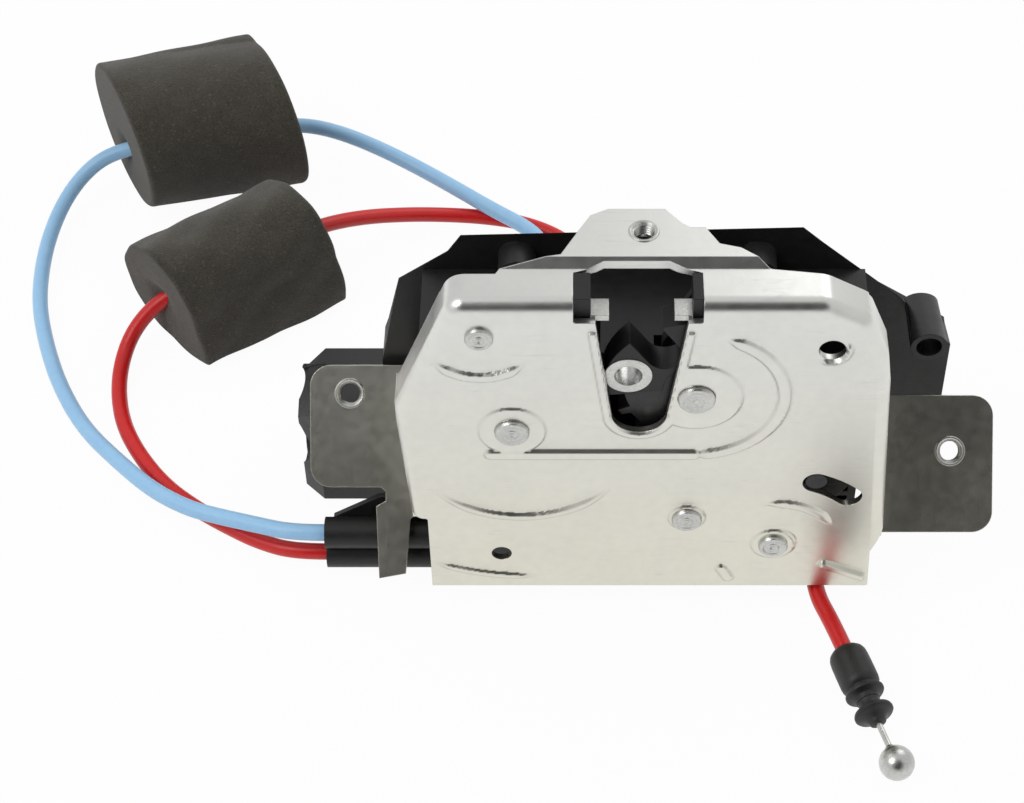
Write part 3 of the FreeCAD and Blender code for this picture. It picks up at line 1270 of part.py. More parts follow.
def release_cable():
    """The short emergency cable: sheath, boot, grommet, pull wire and ball."""
    hook = polar(*release_at, size.wire_arm_reach, size.wire_arm_angle)
    seat = block("SheathSeat", 48.5, 58.5, size.plate_thick + 0.6, size.housing_front, 0.8, 15)
    hole = rod("WireHole", size.wire_radius + 0.3, 14, hook[0], 9.6, 4, ((0, 0, 1), 0))
    sheath = cord("release_cable", release_route, size.cable_radius)
    doc.recompute()
    label(cut("SheathSeatBored", seat, fuse("SeatCuts", [hole, cord_copy(sheath)])), "sheath_seat")
    top = hook[1] - size.nipple_radius
    wire = rod("InnerWire", size.wire_radius, top - 11 - 0.3, hook[0], 9.6, 11, ((0, 0, 1), 0))
    label(wire, "inner_wire")
    heading = vector(*release_route[3]) - vector(*release_route[2])
    heading.normalize()
    away = tuple(heading)
    start = release_route[3]
    along = lambda distance: tuple(base + step * distance for base, step in zip(start, away))
    boot = primitive("Cone", "EndBoot", Radius1=size.boot_radius - 1, Radius2=size.boot_radius,
                     Height=size.boot_length)
    turn = FreeCAD.Rotation(Vector(0, 0, 1), Vector(*away))
    place(boot, *start, tuple(turn.Axis), math.degrees(turn.Angle))
    label(boot, "end_boot")
    neck = rod_toward("GrommetNeck", 3.6, 4.5, *along(number(size.boot_length)), away)
    disc = rod_toward("GrommetDisc", 5.8, 3.2, *along(number(size.boot_length) + 4.5), away)
    bore = rod_toward("GrommetBore", size.wire_radius + 0.2, 9, *along(number(size.boot_length) - 0.5), away)
    label(cut("EndGrommet", fuse("GrommetBody", [neck, disc]), bore), "end_grommet")
    reach = 39.6
    wire = rod_toward("PullWire", size.wire_radius, reach - number(size.boot_length), *along(18.0), away)
    label(wire, "pull_wire")
    ball = primitive("Sphere", "BallEnd", Radius=size.ball_radius)
    centre = along(reach + 3.4)
    place(ball, *centre)
    hole = rod_toward("BallHole", size.wire_radius, 6, *along(reach - 6.0), away)
    label(cut("BallEndBored", ball, hole), "ball_end")


def cord_copy(piece):
    copy = doc.addObject("Part::Feature", piece.Name + "Copy")
    copy.Shape = piece.Shape
    return copy


lock_plate()
back_plate()
rivets()
guides()
catch()
pawl()
levers()
springs()
switches()
housing()
drive_case()
drive_cover()
connector()
motor()
drive_wheel()
closing_lever()
gland()
cables()
release_cable()

doc.recompute()
bad = [item.Label for item in doc.Objects if "Invalid" in item.State or "Error" in item.State]
bad += [piece.Label for piece in nodes if piece.Shape.isNull() or not piece.Shape.isValid()]
if bad:
    raise RuntimeError("failed objects: %s" % bad)
os.makedirs("parts", exist_ok=True)
for piece in nodes:
    shape = piece.Shape
    print("%-22s solids %d volume %.1f" % (piece.Label, len(shape.Solids), shape.Volume))
    shape.exportStep("parts/%s.step" % piece.Label)
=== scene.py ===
import json
import math

import bmesh
import bpy
import numpy as np
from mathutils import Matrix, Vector


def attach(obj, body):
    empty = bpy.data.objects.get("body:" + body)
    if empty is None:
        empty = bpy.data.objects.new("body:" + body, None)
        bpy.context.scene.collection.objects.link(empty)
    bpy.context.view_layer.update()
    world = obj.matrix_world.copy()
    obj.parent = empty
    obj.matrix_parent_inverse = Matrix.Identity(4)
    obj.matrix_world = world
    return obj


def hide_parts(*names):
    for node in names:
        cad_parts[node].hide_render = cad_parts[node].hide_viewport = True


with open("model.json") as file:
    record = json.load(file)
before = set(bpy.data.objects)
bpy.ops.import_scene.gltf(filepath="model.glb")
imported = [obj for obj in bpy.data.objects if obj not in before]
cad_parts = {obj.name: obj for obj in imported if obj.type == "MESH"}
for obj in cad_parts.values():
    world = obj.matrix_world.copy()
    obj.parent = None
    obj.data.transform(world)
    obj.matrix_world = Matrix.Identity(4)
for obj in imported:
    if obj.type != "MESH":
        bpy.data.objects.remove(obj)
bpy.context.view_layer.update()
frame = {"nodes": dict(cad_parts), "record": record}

nodes = frame["nodes"]
print("frame loaded:", len(nodes), "nodes")

mm = 0.001


# Camera

cameraLook = {"place": (-17.3, -425.4, 571.0), "pitchDown": 48.5, "lens": 84.375, "shiftX": -0.0615}


def makeCamera(look):
    data = bpy.data.cameras.new("camera")
    data.lens = look["lens"]
    data.sensor_width = 36.0
    data.shift_x = look["shiftX"]
    data.clip_start, data.clip_end = 0.01, 20.0
    camera = bpy.data.objects.new("camera", data)
    camera.location = [value * mm for value in look["place"]]
    camera.rotation_euler = (math.radians(90 - look["pitchDown"]), 0, 0)
    bpy.context.scene.collection.objects.link(camera)
    bpy.context.scene.camera = camera


makeCamera(cameraLook)


# Shader helpers

def add(tree, kind, feeds=None, **settings):
    # A new shader node, with its inputs fed from sockets or set to values.
    made = tree.nodes.new("ShaderNode" + kind)
    for key, value in settings.items():
        setattr(made, key, value)
    for key, value in (feeds or {}).items():
        if isinstance(value, bpy.types.NodeSocket):
            tree.links.new(value, made.inputs[key])
        else:
            made.inputs[key].default_value = value
    return made


def blendColours(tree, factor, first, second):
    made = add(tree, "Mix", {0: factor, 6: first, 7: second}, data_type="RGBA")
    return made.outputs[2]


def newGroup(name, inputs, outputs):
    # An empty shader group with named inputs (kind and start value) and outputs.
    group = bpy.data.node_groups.new(name, "ShaderNodeTree")
    for key, (kind, value) in inputs.items():
        socket = group.interface.new_socket(key, in_out="INPUT", socket_type="NodeSocket" + kind)
        if value is not None:
            socket.default_value = value
    for key, kind in outputs.items():
        group.interface.new_socket(key, in_out="OUTPUT", socket_type="NodeSocket" + kind)
    given = group.nodes.new("NodeGroupInput").outputs
    put = group.nodes.new("NodeGroupOutput").inputs
    return group, given, put


def makePatchGroup():
    # Two tones mixed by cloudy noise with finer mottling on top of it.
    group, given, put = newGroup("patchyTone", {
        "Vector": ("Vector", None), "Colour": ("Color", None), "Other Colour": ("Color", None),
        "Scale": ("Float", 40.0), "Contrast": ("Float", 0.3)}, {"Colour": "Color", "Mask": "Float"})
    cloud = add(group, "TexNoise", {"Vector": given["Vector"], "Scale": given["Scale"], "Detail": 5.0,
                                    "Roughness": 0.6})
    finer = add(group, "Math", {0: given["Scale"], 1: 7.0}, operation="MULTIPLY")
    mottle = add(group, "TexNoise", {"Vector": given["Vector"], "Scale": finer.outputs[0], "Detail": 3.0})
    both = add(group, "Math", {0: cloud.outputs[0], 1: mottle.outputs[0]}, operation="ADD")
    low = add(group, "Math", {0: 1.0, 1: given["Contrast"]}, operation="SUBTRACT")
    high = add(group, "Math", {0: 1.0, 1: given["Contrast"]}, operation="ADD")
    mask = add(group, "MapRange", {"Value": both.outputs[0], "From Min": low.outputs[0],
                                   "From Max": high.outputs[0]})
    mixed = blendColours(group, mask.outputs[0], given["Colour"], given["Other Colour"])
    group.links.new(mixed, put["Colour"])
    group.links.new(mask.outputs[0], put["Mask"])
    return group


def makeSpeckGroup():
    # Small scattered specks: 1 inside a speck and 0 elsewhere, from the cells' distance.
    group, given, put = newGroup("specks", {
        "Vector": ("Vector", None), "Scale": ("Float", 200.0), "Size": ("Float", 0.16),
        "Share": ("Float", 0.3)}, {"Mask": "Float"})
    cells = add(group, "TexVoronoi", {"Vector": given["Vector"], "Scale": given["Scale"]})
    near = add(group, "Math", {0: cells.outputs["Distance"], 1: given["Size"]}, operation="LESS_THAN")
    tone = add(group, "SeparateColor", {0: cells.outputs["Color"]})
    chosen = add(group, "Math", {0: tone.outputs[0], 1: given["Share"]}, operation="LESS_THAN")
    mask = add(group, "Math", {0: near.outputs[0], 1: chosen.outputs[0]}, operation="MULTIPLY")
    group.links.new(mask.outputs[0], put["Mask"])
    return group


def makeScratchGroup():
    # Fine handling scratches: thin bands of a noise stretched along a line, broken up by another.
    group, given, put = newGroup("scratches", {
        "Vector": ("Vector", None), "Scale": ("Float", 60.0), "Amount": ("Float", 0.5)}, {"Mask": "Float"})
    turned = add(group, "Mapping", {"Vector": given["Vector"], "Rotation": (0.35, 0.5, 0.3),
                                    "Scale": (0.12, 1.0, 2.2)})
    lines = add(group, "TexNoise", {"Vector": turned.outputs[0], "Scale": given["Scale"], "Detail": 4.0})
    away = add(group, "Math", {0: lines.outputs[0], 1: 0.5}, operation="SUBTRACT")
    size = add(group, "Math", {0: away.outputs[0]}, operation="ABSOLUTE")
    thin = add(group, "MapRange", {"Value": size.outputs[0], "From Min": 0.008, "From Max": 0.0})
    gaps = add(group, "TexNoise", {"Vector": given["Vector"], "Scale": given["Scale"], "Detail": 2.0})
    where = add(group, "MapRange", {"Value": gaps.outputs[0], "From Min": 0.52, "From Max": 0.62})
    broken = add(group, "Math", {0: thin.outputs[0], 1: where.outputs[0]}, operation="MULTIPLY")
    mask = add(group, "Math", {0: broken.outputs[0], 1: given["Amount"]}, operation="MULTIPLY")
    group.links.new(mask.outputs[0], put["Mask"])
    return group


def makeGrainGroup():
    # Fine surface grain as a height: a high noise with a broader orange peel under it.
    group, given, put = newGroup("fineGrain", {
        "Vector": ("Vector", None), "Scale": ("Float", 900.0), "Peel": ("Float", 0.5)}, {"Height": "Float"})
    fine = add(group, "TexNoise", {"Vector": given["Vector"], "Scale": given["Scale"], "Detail": 3.0})
    wide = add(group, "Math", {0: given["Scale"], 1: 0.12}, operation="MULTIPLY")
    peel = add(group, "TexNoise", {"Vector": given["Vector"], "Scale": wide.outputs[0], "Detail": 2.0})
    part = add(group, "Math", {0: peel.outputs[0], 1: given["Peel"]}, operation="MULTIPLY")
    whole = add(group, "Math", {0: fine.outputs[0], 1: part.outputs[0]}, operation="ADD")
    group.links.new(whole.outputs[0], put["Height"])
    return group


patchGroup = makePatchGroup()
speckGroup = makeSpeckGroup()
scratchGroup = makeScratchGroup()
grainGroup = makeGrainGroup()


def useGroup(tree, group, feeds):
    made = tree.nodes.new("ShaderNodeGroup")
    made.node_tree = group
    for key, value in feeds.items():
        if isinstance(value, bpy.types.NodeSocket):
            tree.links.new(value, made.inputs[key])
        else:
            made.inputs[key].default_value = value
    return made


def solid(colour):
    return (*colour, 1.0)


def makeFinish(name, look):
    # Patchy colour, specks, scratches and grain on one Principled surface with softened edges.
    material = bpy.data.materials.new(name)
    material.use_nodes = True
    tree = material.node_tree
    tree.nodes.clear()
    shader = add(tree, "BsdfPrincipled", {"Metallic": look.get("metal", 0.0),
                                          "Specular IOR Level": look.get("specular", 0.5)})
    end = add(tree, "OutputMaterial", {"Surface": shader.outputs[0]})
    end.is_active_output = True
    here = add(tree, "TexCoord").outputs["Object"]
    tone = useGroup(tree, patchGroup, {"Vector": here, "Colour": solid(look["colour"]),
                                       "Other Colour": solid(look["other"]), "Scale": look["patch"],
                                       "Contrast": look.get("contrast", 0.3)})
    colour = tone.outputs["Colour"]
    if "low" in look:
        axes = add(tree, "SeparateXYZ", {0: here})
        rise = add(tree, "MapRange", {"Value": axes.outputs[2], "From Min": 0.03, "From Max": 0.125})
        warm = add(tree, "Mix", {0: 1.0, 6: colour, 7: solid(look["low"])}, data_type="RGBA",
                   blend_type="MULTIPLY").outputs[2]
        colour = blendColours(tree, rise.outputs[0], warm, colour)
    if look.get("specks"):
        specks = useGroup(tree, speckGroup, {"Vector": here, "Scale": look["specks"], "Share": 0.25})
        colour = blendColours(tree, specks.outputs[0], colour, solid(look["speckColour"]))
    scratches = useGroup(tree, scratchGroup, {"Vector": here, "Scale": look.get("scratch", 60.0),
                                              "Amount": look.get("scratchAmount", 0.5)})
    colour = blendColours(tree, scratches.outputs[0], colour, solid(look.get("bare", look["other"])))
    # Painted shade: the colour darkens towards a dark grey on the pressed beads' slopes, most on the sides
    # that face down.
    if "crease_and_painted_shade" in look:
        paintedShadeFac = add(tree, "Attribute", attribute_name="crease_and_painted_shade").outputs["Fac"]
        share = add(tree, "Math", {0: paintedShadeFac, 1: look["crease_and_painted_shade"]}, operation="MULTIPLY", use_clamp=True)
        colour = blendColours(tree, share.outputs[0], colour, solid((0.16, 0.155, 0.14)))
    tree.links.new(colour, shader.inputs["Base Color"])
    rough = add(tree, "MapRange", {"Value": tone.outputs["Mask"], "To Min": look["rough"][0],
                                   "To Max": look["rough"][1]})
    tree.links.new(rough.outputs[0], shader.inputs["Roughness"])
    grain = useGroup(tree, grainGroup, {"Vector": here, "Scale": look["grain"],
                                        "Peel": look.get("peel", 0.5)})
    soft = add(tree, "Bevel", {"Radius": look.get("edge", 0.25) * mm}, samples=4)
    bump = add(tree, "Bump", {"Strength": look["bump"], "Distance": 0.0002, "Height": grain.outputs[0],
                              "Normal": soft.outputs[0]})
    tree.links.new(bump.outputs[0], shader.inputs["Normal"])
    return material


finishLooks = {
    # zinc_steel's last amount sets the strength of the painted shade on the plate's bead slopes.
    "zinc_steel": {"colour": (0.76, 0.76, 0.73), "other": (0.69, 0.695, 0.675), "low": (1.0, 0.975, 0.88),
                   "metal": 1.0, "rough": (0.27, 0.38), "patch": 48.0, "contrast": 0.5, "grain": 1500.0,
                   "bump": 0.07, "scratch": 90.0, "scratchAmount": 0.3, "bare": (0.5, 0.5, 0.49),
                   "edge": 0.3, "crease_and_painted_shade": 0.55},
    "bright_steel": {"colour": (0.64, 0.64, 0.62), "other": (0.5, 0.5, 0.48), "metal": 1.0,
                     "rough": (0.24, 0.4), "patch": 160.0, "grain": 1800.0, "bump": 0.12, "edge": 0.3},
    "blued_steel": {"colour": (0.022, 0.022, 0.024), "other": (0.045, 0.043, 0.042), "metal": 0.4,
                    "rough": (0.3, 0.42), "patch": 90.0, "grain": 1400.0, "bump": 0.12,
                    "bare": (0.2, 0.2, 0.2)},
    "black_plastic": {"colour": (0.008, 0.008, 0.0085), "other": (0.013, 0.012, 0.012), "rough": (0.36, 0.48),
                      "specular": 0.38,
                      "patch": 60.0, "grain": 1600.0, "bump": 0.16, "peel": 0.3, "bare": (0.05, 0.05, 0.05),
                      "scratchAmount": 0.25, "edge": 0.4},
    "grey_plastic": {"colour": (0.012, 0.0115, 0.0115), "other": (0.018, 0.017, 0.0165), "rough": (0.4, 0.52),
                     "specular": 0.38,
                     "patch": 60.0, "grain": 1600.0, "bump": 0.16, "peel": 0.3, "bare": (0.06, 0.06, 0.06),
                     "scratchAmount": 0.25, "edge": 0.4},
    "rubber": {"colour": (0.012, 0.012, 0.012), "other": (0.02, 0.019, 0.018), "rough": (0.42, 0.56),
               "patch": 120.0, "grain": 1300.0, "bump": 0.2, "scratchAmount": 0.2, "edge": 0.4},
    "blue_jacket": {"colour": (0.34, 0.62, 0.93), "other": (0.38, 0.66, 0.94), "rough": (0.3, 0.42),
                    "patch": 70.0, "grain": 700.0, "bump": 0.05, "scratchAmount": 0.2,
                    "bare": (0.4, 0.6, 0.8), "edge": 0.1},
    "red_jacket": {"colour": (0.68, 0.010, 0.010), "other": (0.74, 0.014, 0.014), "rough": (0.3, 0.42),
                   "patch": 70.0, "grain": 700.0, "bump": 0.05, "scratchAmount": 0.2,
                   "bare": (0.6, 0.08, 0.07), "edge": 0.1},
    "pale_plastic": {"colour": (0.6, 0.58, 0.55), "other": (0.52, 0.5, 0.46), "rough": (0.38, 0.5),
                     "patch": 90.0, "grain": 1400.0, "bump": 0.15},
    "brass": {"colour": (0.72, 0.55, 0.25), "other": (0.6, 0.44, 0.2), "metal": 1.0, "rough": (0.25, 0.4),
              "patch": 120.0, "grain": 1500.0, "bump": 0.08},
}
finishes = {slot: makeFinish(slot, look) for slot, look in finishLooks.items()}


# The open foam has its own material, with pores.

foamLook = {"colour": (0.078, 0.070, 0.052), "other": (0.050, 0.044, 0.033), "pore": (0.022, 0.020, 0.015),
            "pale": (0.125, 0.112, 0.085), "poreScale": 1500.0, "finePores": 3600.0, "patch": 34.0}


def makeFoamFinish(look):
    # Open cell foam: round pores from two sizes of cells darken the colour as painted shade in the pore
    # hollows, and dent the surface.
    material = bpy.data.materials.new("foam")
    material.use_nodes = True
    tree = material.node_tree
    tree.nodes.clear()
    shader = add(tree, "BsdfPrincipled", {"Roughness": 0.92, "Specular IOR Level": 0.15,
                                          "Sheen Weight": 0.25, "Sheen Roughness": 0.6})
    add(tree, "OutputMaterial", {"Surface": shader.outputs[0]})
    here = add(tree, "TexCoord").outputs["Object"]
    tone = useGroup(tree, patchGroup, {"Vector": here, "Colour": solid(look["colour"]),
                                       "Other Colour": solid(look["other"]), "Scale": look["patch"],
                                       "Contrast": 0.35})
    large = add(tree, "TexVoronoi", {"Vector": here, "Scale": look["poreScale"]})
    small = add(tree, "TexVoronoi", {"Vector": here, "Scale": look["finePores"]})
    largePit = add(tree, "MapRange", {"Value": large.outputs["Distance"], "From Min": 0.1, "From Max": 0.42})
    smallPit = add(tree, "MapRange", {"Value": small.outputs["Distance"], "From Min": 0.1, "From Max": 0.5})
    both = add(tree, "Math", {0: largePit.outputs[0], 1: smallPit.outputs[0]}, operation="MULTIPLY")
    # Painted shade: the pores take the darker pore colour, standing in for the shadow inside each cell's
    # hollow.
    colour = blendColours(tree, both.outputs[0], solid(look["pore"]), tone.outputs["Colour"])
    fibres = add(tree, "TexNoise", {"Vector": here, "Scale": look["poreScale"] * 0.8, "Detail": 4.0})
    walls = add(tree, "MapRange", {"Value": fibres.outputs[0], "From Min": 0.58, "From Max": 0.78})
    colour = blendColours(tree, walls.outputs[0], colour, solid(look["pale"]))
    tree.links.new(colour, shader.inputs["Base Color"])
    bump = add(tree, "Bump", {"Strength": 0.55, "Distance": 0.0003, "Height": both.outputs[0]})
    tree.links.new(bump.outputs[0], shader.inputs["Normal"])
    return material


finishes["foam"] = makeFoamFinish(foamLook)

slots = {part["node"]: part["material_slot"] for part in frame["record"]["subparts"]}
for node, slot in slots.items():
    for holder in nodes[node].material_slots:
        holder.material = finishes[slot]
print("finishes made:", len(finishes))


# Mesh helpers

def makeMesh(name, points, faces, slot, body, tidy=True, angle=35.0):
    # A piece from points in millimetres: doubles merged, faces outwards, edges past the angle kept sharp.
    mesh = bpy.data.meshes.new(name)
    mesh.from_pydata((points * mm).tolist(), [], [list(face) for face in faces])
    if tidy:
        work = bmesh.new()
        work.from_mesh(mesh)
        bmesh.ops.remove_doubles(work, verts=work.verts, dist=1e-6)
        bmesh.ops.recalc_face_normals(work, faces=work.faces)
        work.to_mesh(mesh)
        work.free()
    mesh.shade_smooth()
    mesh.set_sharp_from_angle(angle=math.radians(angle))
    mesh.materials.append(finishes[slot])
    piece = bpy.data.objects.new(name, mesh)
    bpy.context.scene.collection.objects.link(piece)
    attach(piece, body)
    return piece


def gridFaces(rows, columns, closed):
    # Quads of a grid of points, joined round across its columns when closed.
    row = np.arange(rows - 1)[:, None]
    column = np.arange(columns if closed else columns - 1)[None, :]
    after = (column + 1) % columns
    corners = [row * columns + column, row * columns + after, (row + 1) * columns + after,
               (row + 1) * columns + column]
    return np.stack([np.broadcast_to(corner, (rows - 1, column.size)).ravel() for corner in corners], 1)


def across(direction):
    # Two unit vectors square to a direction and to each other.
    direction = np.asarray(direction, float)
    direction = direction / np.linalg.norm(direction)
    helper = np.array([0.0, 0.0, 1.0]) if abs(direction[2]) < 0.9 else np.array([1.0, 0.0, 0.0])
    first = np.cross(direction, helper)
    first = first / np.linalg.norm(first)
    return direction, first, np.cross(direction, first)


def turnProfile(name, start, direction, profile, slot, body, sides=48, angle=35.0):
    # Surface of revolution: each (along, radius) of the profile turned about a line from the start.
    along, first, second = across(direction)
    steps = np.array(profile, float)
    turn = np.linspace(0, 2 * np.pi, sides, endpoint=False)
    ring = np.cos(turn)[:, None] * first + np.sin(turn)[:, None] * second
    points = np.array(start, float) + steps[:, 0, None, None] * along + steps[:, 1, None, None] * ring
    return makeMesh(name, points.reshape(-1, 3), gridFaces(len(steps), sides, True), slot, body, angle=angle)


def smooth(value):
    value = np.clip(value, 0, 1)
    return value * value * (3 - 2 * value)


# Cords

cordLooks = {
    "blueCable": {"node": "blue_cable", "slot": "blue_jacket", "length": 461.6, "exit": (-91, 15.6, 14.1),
                  "points": [
        (-91, 15.6, 14.1), (-101, 15.6, 14.1), (-113, 20.5, 12), (-124, 25, 10),
        (-134, 29.3, 8.6), (-146, 38, 6.8), (-158.5, 51.5, 4.4), (-171, 66.2, 2.5), (-181, 83.7, 2.5),
        (-188, 101.7, 2.5), (-193, 119.7, 2.5), (-194.6, 136.7, 2.5), (-193.8, 150.5, 4),
        (-190.3, 162.5, 7.8), (-184, 171.5, 12.6), (-175.5, 176, 17.4), (-163.5, 177.6, 20.2),
        (-145, 181, 20.7), (-127, 185.4, 20.7), (-111, 189, 19.6), (-99, 188.8, 16.6),
        (-86, 186.3, 12), (-71.5, 179.6, 8.6), (-57.5, 169.2, 8), (-45, 158.6, 8.4),
        (-34.5, 151, 8.4), (-28.6, 144, 8.6), (-25.8, 133, 9.6), (-26.4, 119, 11),
        (-28, 104, 12.6), (-28, 87, 13), (-28, 70.4, 13)]},
    "redCable": {"node": "red_cable", "slot": "red_jacket", "length": 371.5, "exit": (-91, 15.6, 5),
                 "points": [
        (-91, 15.6, 5), (-101, 15.6, 5), (-112, 20.8, 3.1), (-122, 27, 2.5), (-132, 33.6, 2.5),
        (-143, 42.8, 2.5), (-152, 54.7, 2.5), (-158.6, 67, 2.5), (-162, 80, 2.5), (-162.6, 92, 3.6),
        (-159.8, 101.4, 8), (-153.6, 106.8, 14), (-145.4, 110.4, 18.6), (-135, 115.6, 20.4),
        (-121, 125, 20.4), (-108, 135.2, 19.8), (-98, 143.4, 17), (-86.5, 151, 12.6),
        (-73, 157.2, 7.6), (-60, 160.7, 4), (-48, 161.2, 2.5), (-36, 158.8, 2.5), (-24.5, 153.2, 2.5),
        (-16, 145, 2.5), (-11.4, 134, 2.6), (-11.2, 120, 3.2), (-13.6, 104, 5), (-15, 87, 6.5),
        (-15, 70.4, 6.5)]},
    "releaseSheath": {"node": "release_cable", "slot": "red_jacket", "length": 31.1, "exit": (53.2, 8.5, 5),
                      "points": [(53.2, 8.5, 5), (53.4, 0.4, 4.9), (57.56, -11.43, 5.8),
                                 (60.6, -21.5, 5.8)]},
}
cordRadius = 2.5


def makeCord(name, look):
    # A round tube along one NURBS spline through the route's control points.
    curve = bpy.data.curves.new(name, "CURVE")
    curve.dimensions = "3D"
    curve.bevel_depth = cordRadius * mm
    curve.bevel_resolution = 6
    curve.use_fill_caps = True
    curve.resolution_u = 14
    spline = curve.splines.new("NURBS")
    spline.points.add(len(look["points"]) - 1)
    for point, place in zip(spline.points, look["points"]):
        point.co = (*(value * mm for value in place), 1.0)
    spline.order_u = 3
    spline.use_endpoint_u = True
    curve.materials.append(finishes[look["slot"]])
    piece = bpy.data.objects.new(name, curve)
    bpy.context.scene.collection.objects.link(piece)
    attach(piece, "frame")
    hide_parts(look["node"])
    return piece


cords = {name: makeCord(name, look) for name, look in cordLooks.items()}
print("cords laid")


# Foam sleeves

foamSleeves = {
    "foamUpper": {"node": "foam_upper", "start": (-169.5, 176.7, 25.4), "along": (52, 12, 0), "length": 53.0,
                  "radius": 25.2, "round": 1.5, "waves": ((2, 0.008, 0.6), (3, 0.006, 2.1)), "lumps": 0.35,
                  "fold": {"turn": 0.85, "width": 0.3, "lift": 2.4, "groove": 0.5, "lean": 0.1, "grow": 1.0},
                  "dent": 2.4, "dentAt": (0.0, -5.2), "shear": (-0.25, -0.03)},
    "foamLower": {"node": "foam_lower", "start": (-149.6, 106.7, 19.8), "along": (43, 31, 0), "length": 53.0,
                  "radius": 19.4, "round": 1.5, "waves": ((2, 0.03, 2.4), (3, 0.012, 0.4)), "lumps": 0.8,
                  "fold": {"turn": -2.42, "width": 0.78, "lift": 8.4, "groove": 1.1, "lean": 0.5,
                           "grow": 0.1},
                  "dent": 2.4, "dentAt": (0.0, 0.0), "shear": (-0.12, -0.06)},
}


def makeFoam(name, look):
    # A foam roll: a rounded profile turned about its axis, its radius waved by a few harmonics,
    # lifted to a soft ridge where the sheet's edge lies, and dented where the cable goes in.
    sides, capSteps, bendSteps, sideSteps = 144, 22, 9, 64
    along, first, second = across(look["along"])
    if second[2] < 0:
        first, second = -first, -second
    radius, bend, length = look["radius"], look["round"], look["length"]
    cap = np.linspace(0, 1, capSteps) * (radius - bend)
    quarter = np.linspace(0, np.pi / 2, bendSteps)[1:]
    reach = np.concatenate([cap, radius - bend + bend * np.sin(quarter)])
    depth = np.concatenate([np.zeros(capSteps), bend * (1 - np.cos(quarter))])
    side = np.linspace(bend, length - bend, sideSteps)[1:-1]
    allReach = np.concatenate([reach, np.full(side.size, radius), reach[::-1]])
    allDepth = np.concatenate([depth, side, length - depth[::-1]])
    turn = np.linspace(0, 2 * np.pi, sides, endpoint=False)
    shape = np.ones(sides)
    for count, size, phase in look["waves"]:
        shape = shape + size * np.cos(count * turn + phase)
    share = allReach[:, None] / radius
    span = allDepth[:, None] / length
    reachAll = allReach[:, None] * (1 + (shape[None, :] - 1) * share)
    reachAll = reachAll + look["lumps"] * share ** 4 * (0.35 * np.sin(9 * turn + 14 * span)
                                                        + 0.3 * np.sin(5 * turn - 9 * span))
    fold = look["fold"]
    gap = (turn - fold["turn"] + np.pi) % (2 * np.pi) - np.pi
    grow = 1 - fold["grow"] + fold["grow"] * smooth(span)
    lift = fold["lift"] * np.clip(1 - np.abs(gap) / fold["width"], 0, 1)[None, :] ** 1.35 * grow
    seam = gap[None, :] - 0.1 - fold["lean"] * span
    crease_and_painted_shade = fold["groove"] * np.exp(-(seam / 0.035) ** 2) * smooth(span * 3)
    reachAll = reachAll + (lift - crease_and_painted_shade) * share ** 2.4
    dentX, dentZ = look["dentAt"]
    off = np.hypot(reachAll * np.cos(turn) - dentX, reachAll * np.sin(turn) - dentZ)
    ends = np.exp(-(off / 4.4) ** 2) * look["dent"]
    depthAll = allDepth[:, None] + ends * np.where(span < 0.5, 1.0, -1.0)
    backShear, topShear = look["shear"]
    depthAll = depthAll + reachAll * (backShear * np.cos(turn) + topShear * np.sin(turn))[None, :]
    points = (np.array(look["start"])[None, None, :] + depthAll[:, :, None] * along
              + (reachAll * np.cos(turn))[:, :, None] * first
              + (reachAll * np.sin(turn))[:, :, None] * second)
    points[:, :, 2] = np.maximum(points[:, :, 2], 0.15)
    piece = makeMesh(name, points.reshape(-1, 3), gridFaces(len(allReach), sides, True), "foam", "frame",
                     angle=80)
    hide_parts(look["node"])
    return piece


foams = [makeFoam(name, look) for name, look in foamSleeves.items()]
print("foam sleeves made")


# Pressed front face of the lock plate

reliefLook = {
    "step": 0.45, "slope": 0.8, "steep": 1.5,
    "bosses": [((15.2, 91.9), 12.0, 0.7), ((-34.4, 78.4), 8.8, 0.7), ((14.3, 40.8), 4.8, 0.7),
               ((39.4, 28.9), 5.9, 0.7)],
    "arcs": [((15.2, 91.9), 23.5, (-90, 72), 1.3, 0.95, 5.0),
             ((-32.5, 72.5), 31.2, (222, 322), 0.8, 0.95, 14.0),
             ((-30.0, 79.0), 65.3, (245, 271), 0.7, 0.8, 8.0),
             ((39.4, 28.9), 18.1, (30, 101), 1.0, 0.95, 7.0),
             ((-42.3, 115.0), 15.2, (218, 318), 1.1, 0.95, 6.0)],
    "lines": [((15.2, 68.4), (-40.4, 68.4), 1.3, 0.95), ((25.0, 17.3), (27.3, 13.0), 1.1, 0.8),
              ((54.6, 19.4), (66.4, 13.4), 0.9, 1.3)],
    "slotRim": {"width": 1.9, "lift": 0.75, "below": 117.0},
    "lanceLip": {"at": (50.0, 110.4), "radius": 3.6, "side": (0.7, -0.7), "lift": 1.3, "width": 1.5},
}


def cadArrays(name):
    # Merged points in millimetres and triangles of a CAD node.
    mesh = nodes[name].data
    places = np.empty(len(mesh.vertices) * 3)
    mesh.vertices.foreach_get("co", places)
    mesh.calc_loop_triangles()
    corners = np.empty(len(mesh.loop_triangles) * 3, np.int32)
    mesh.loop_triangles.foreach_get("vertices", corners)
    places = places.reshape(-1, 3) / mm
    merged, index = np.unique(np.round(places, 3), axis=0, return_inverse=True)
    return merged, index.ravel()[corners].reshape(-1, 3)


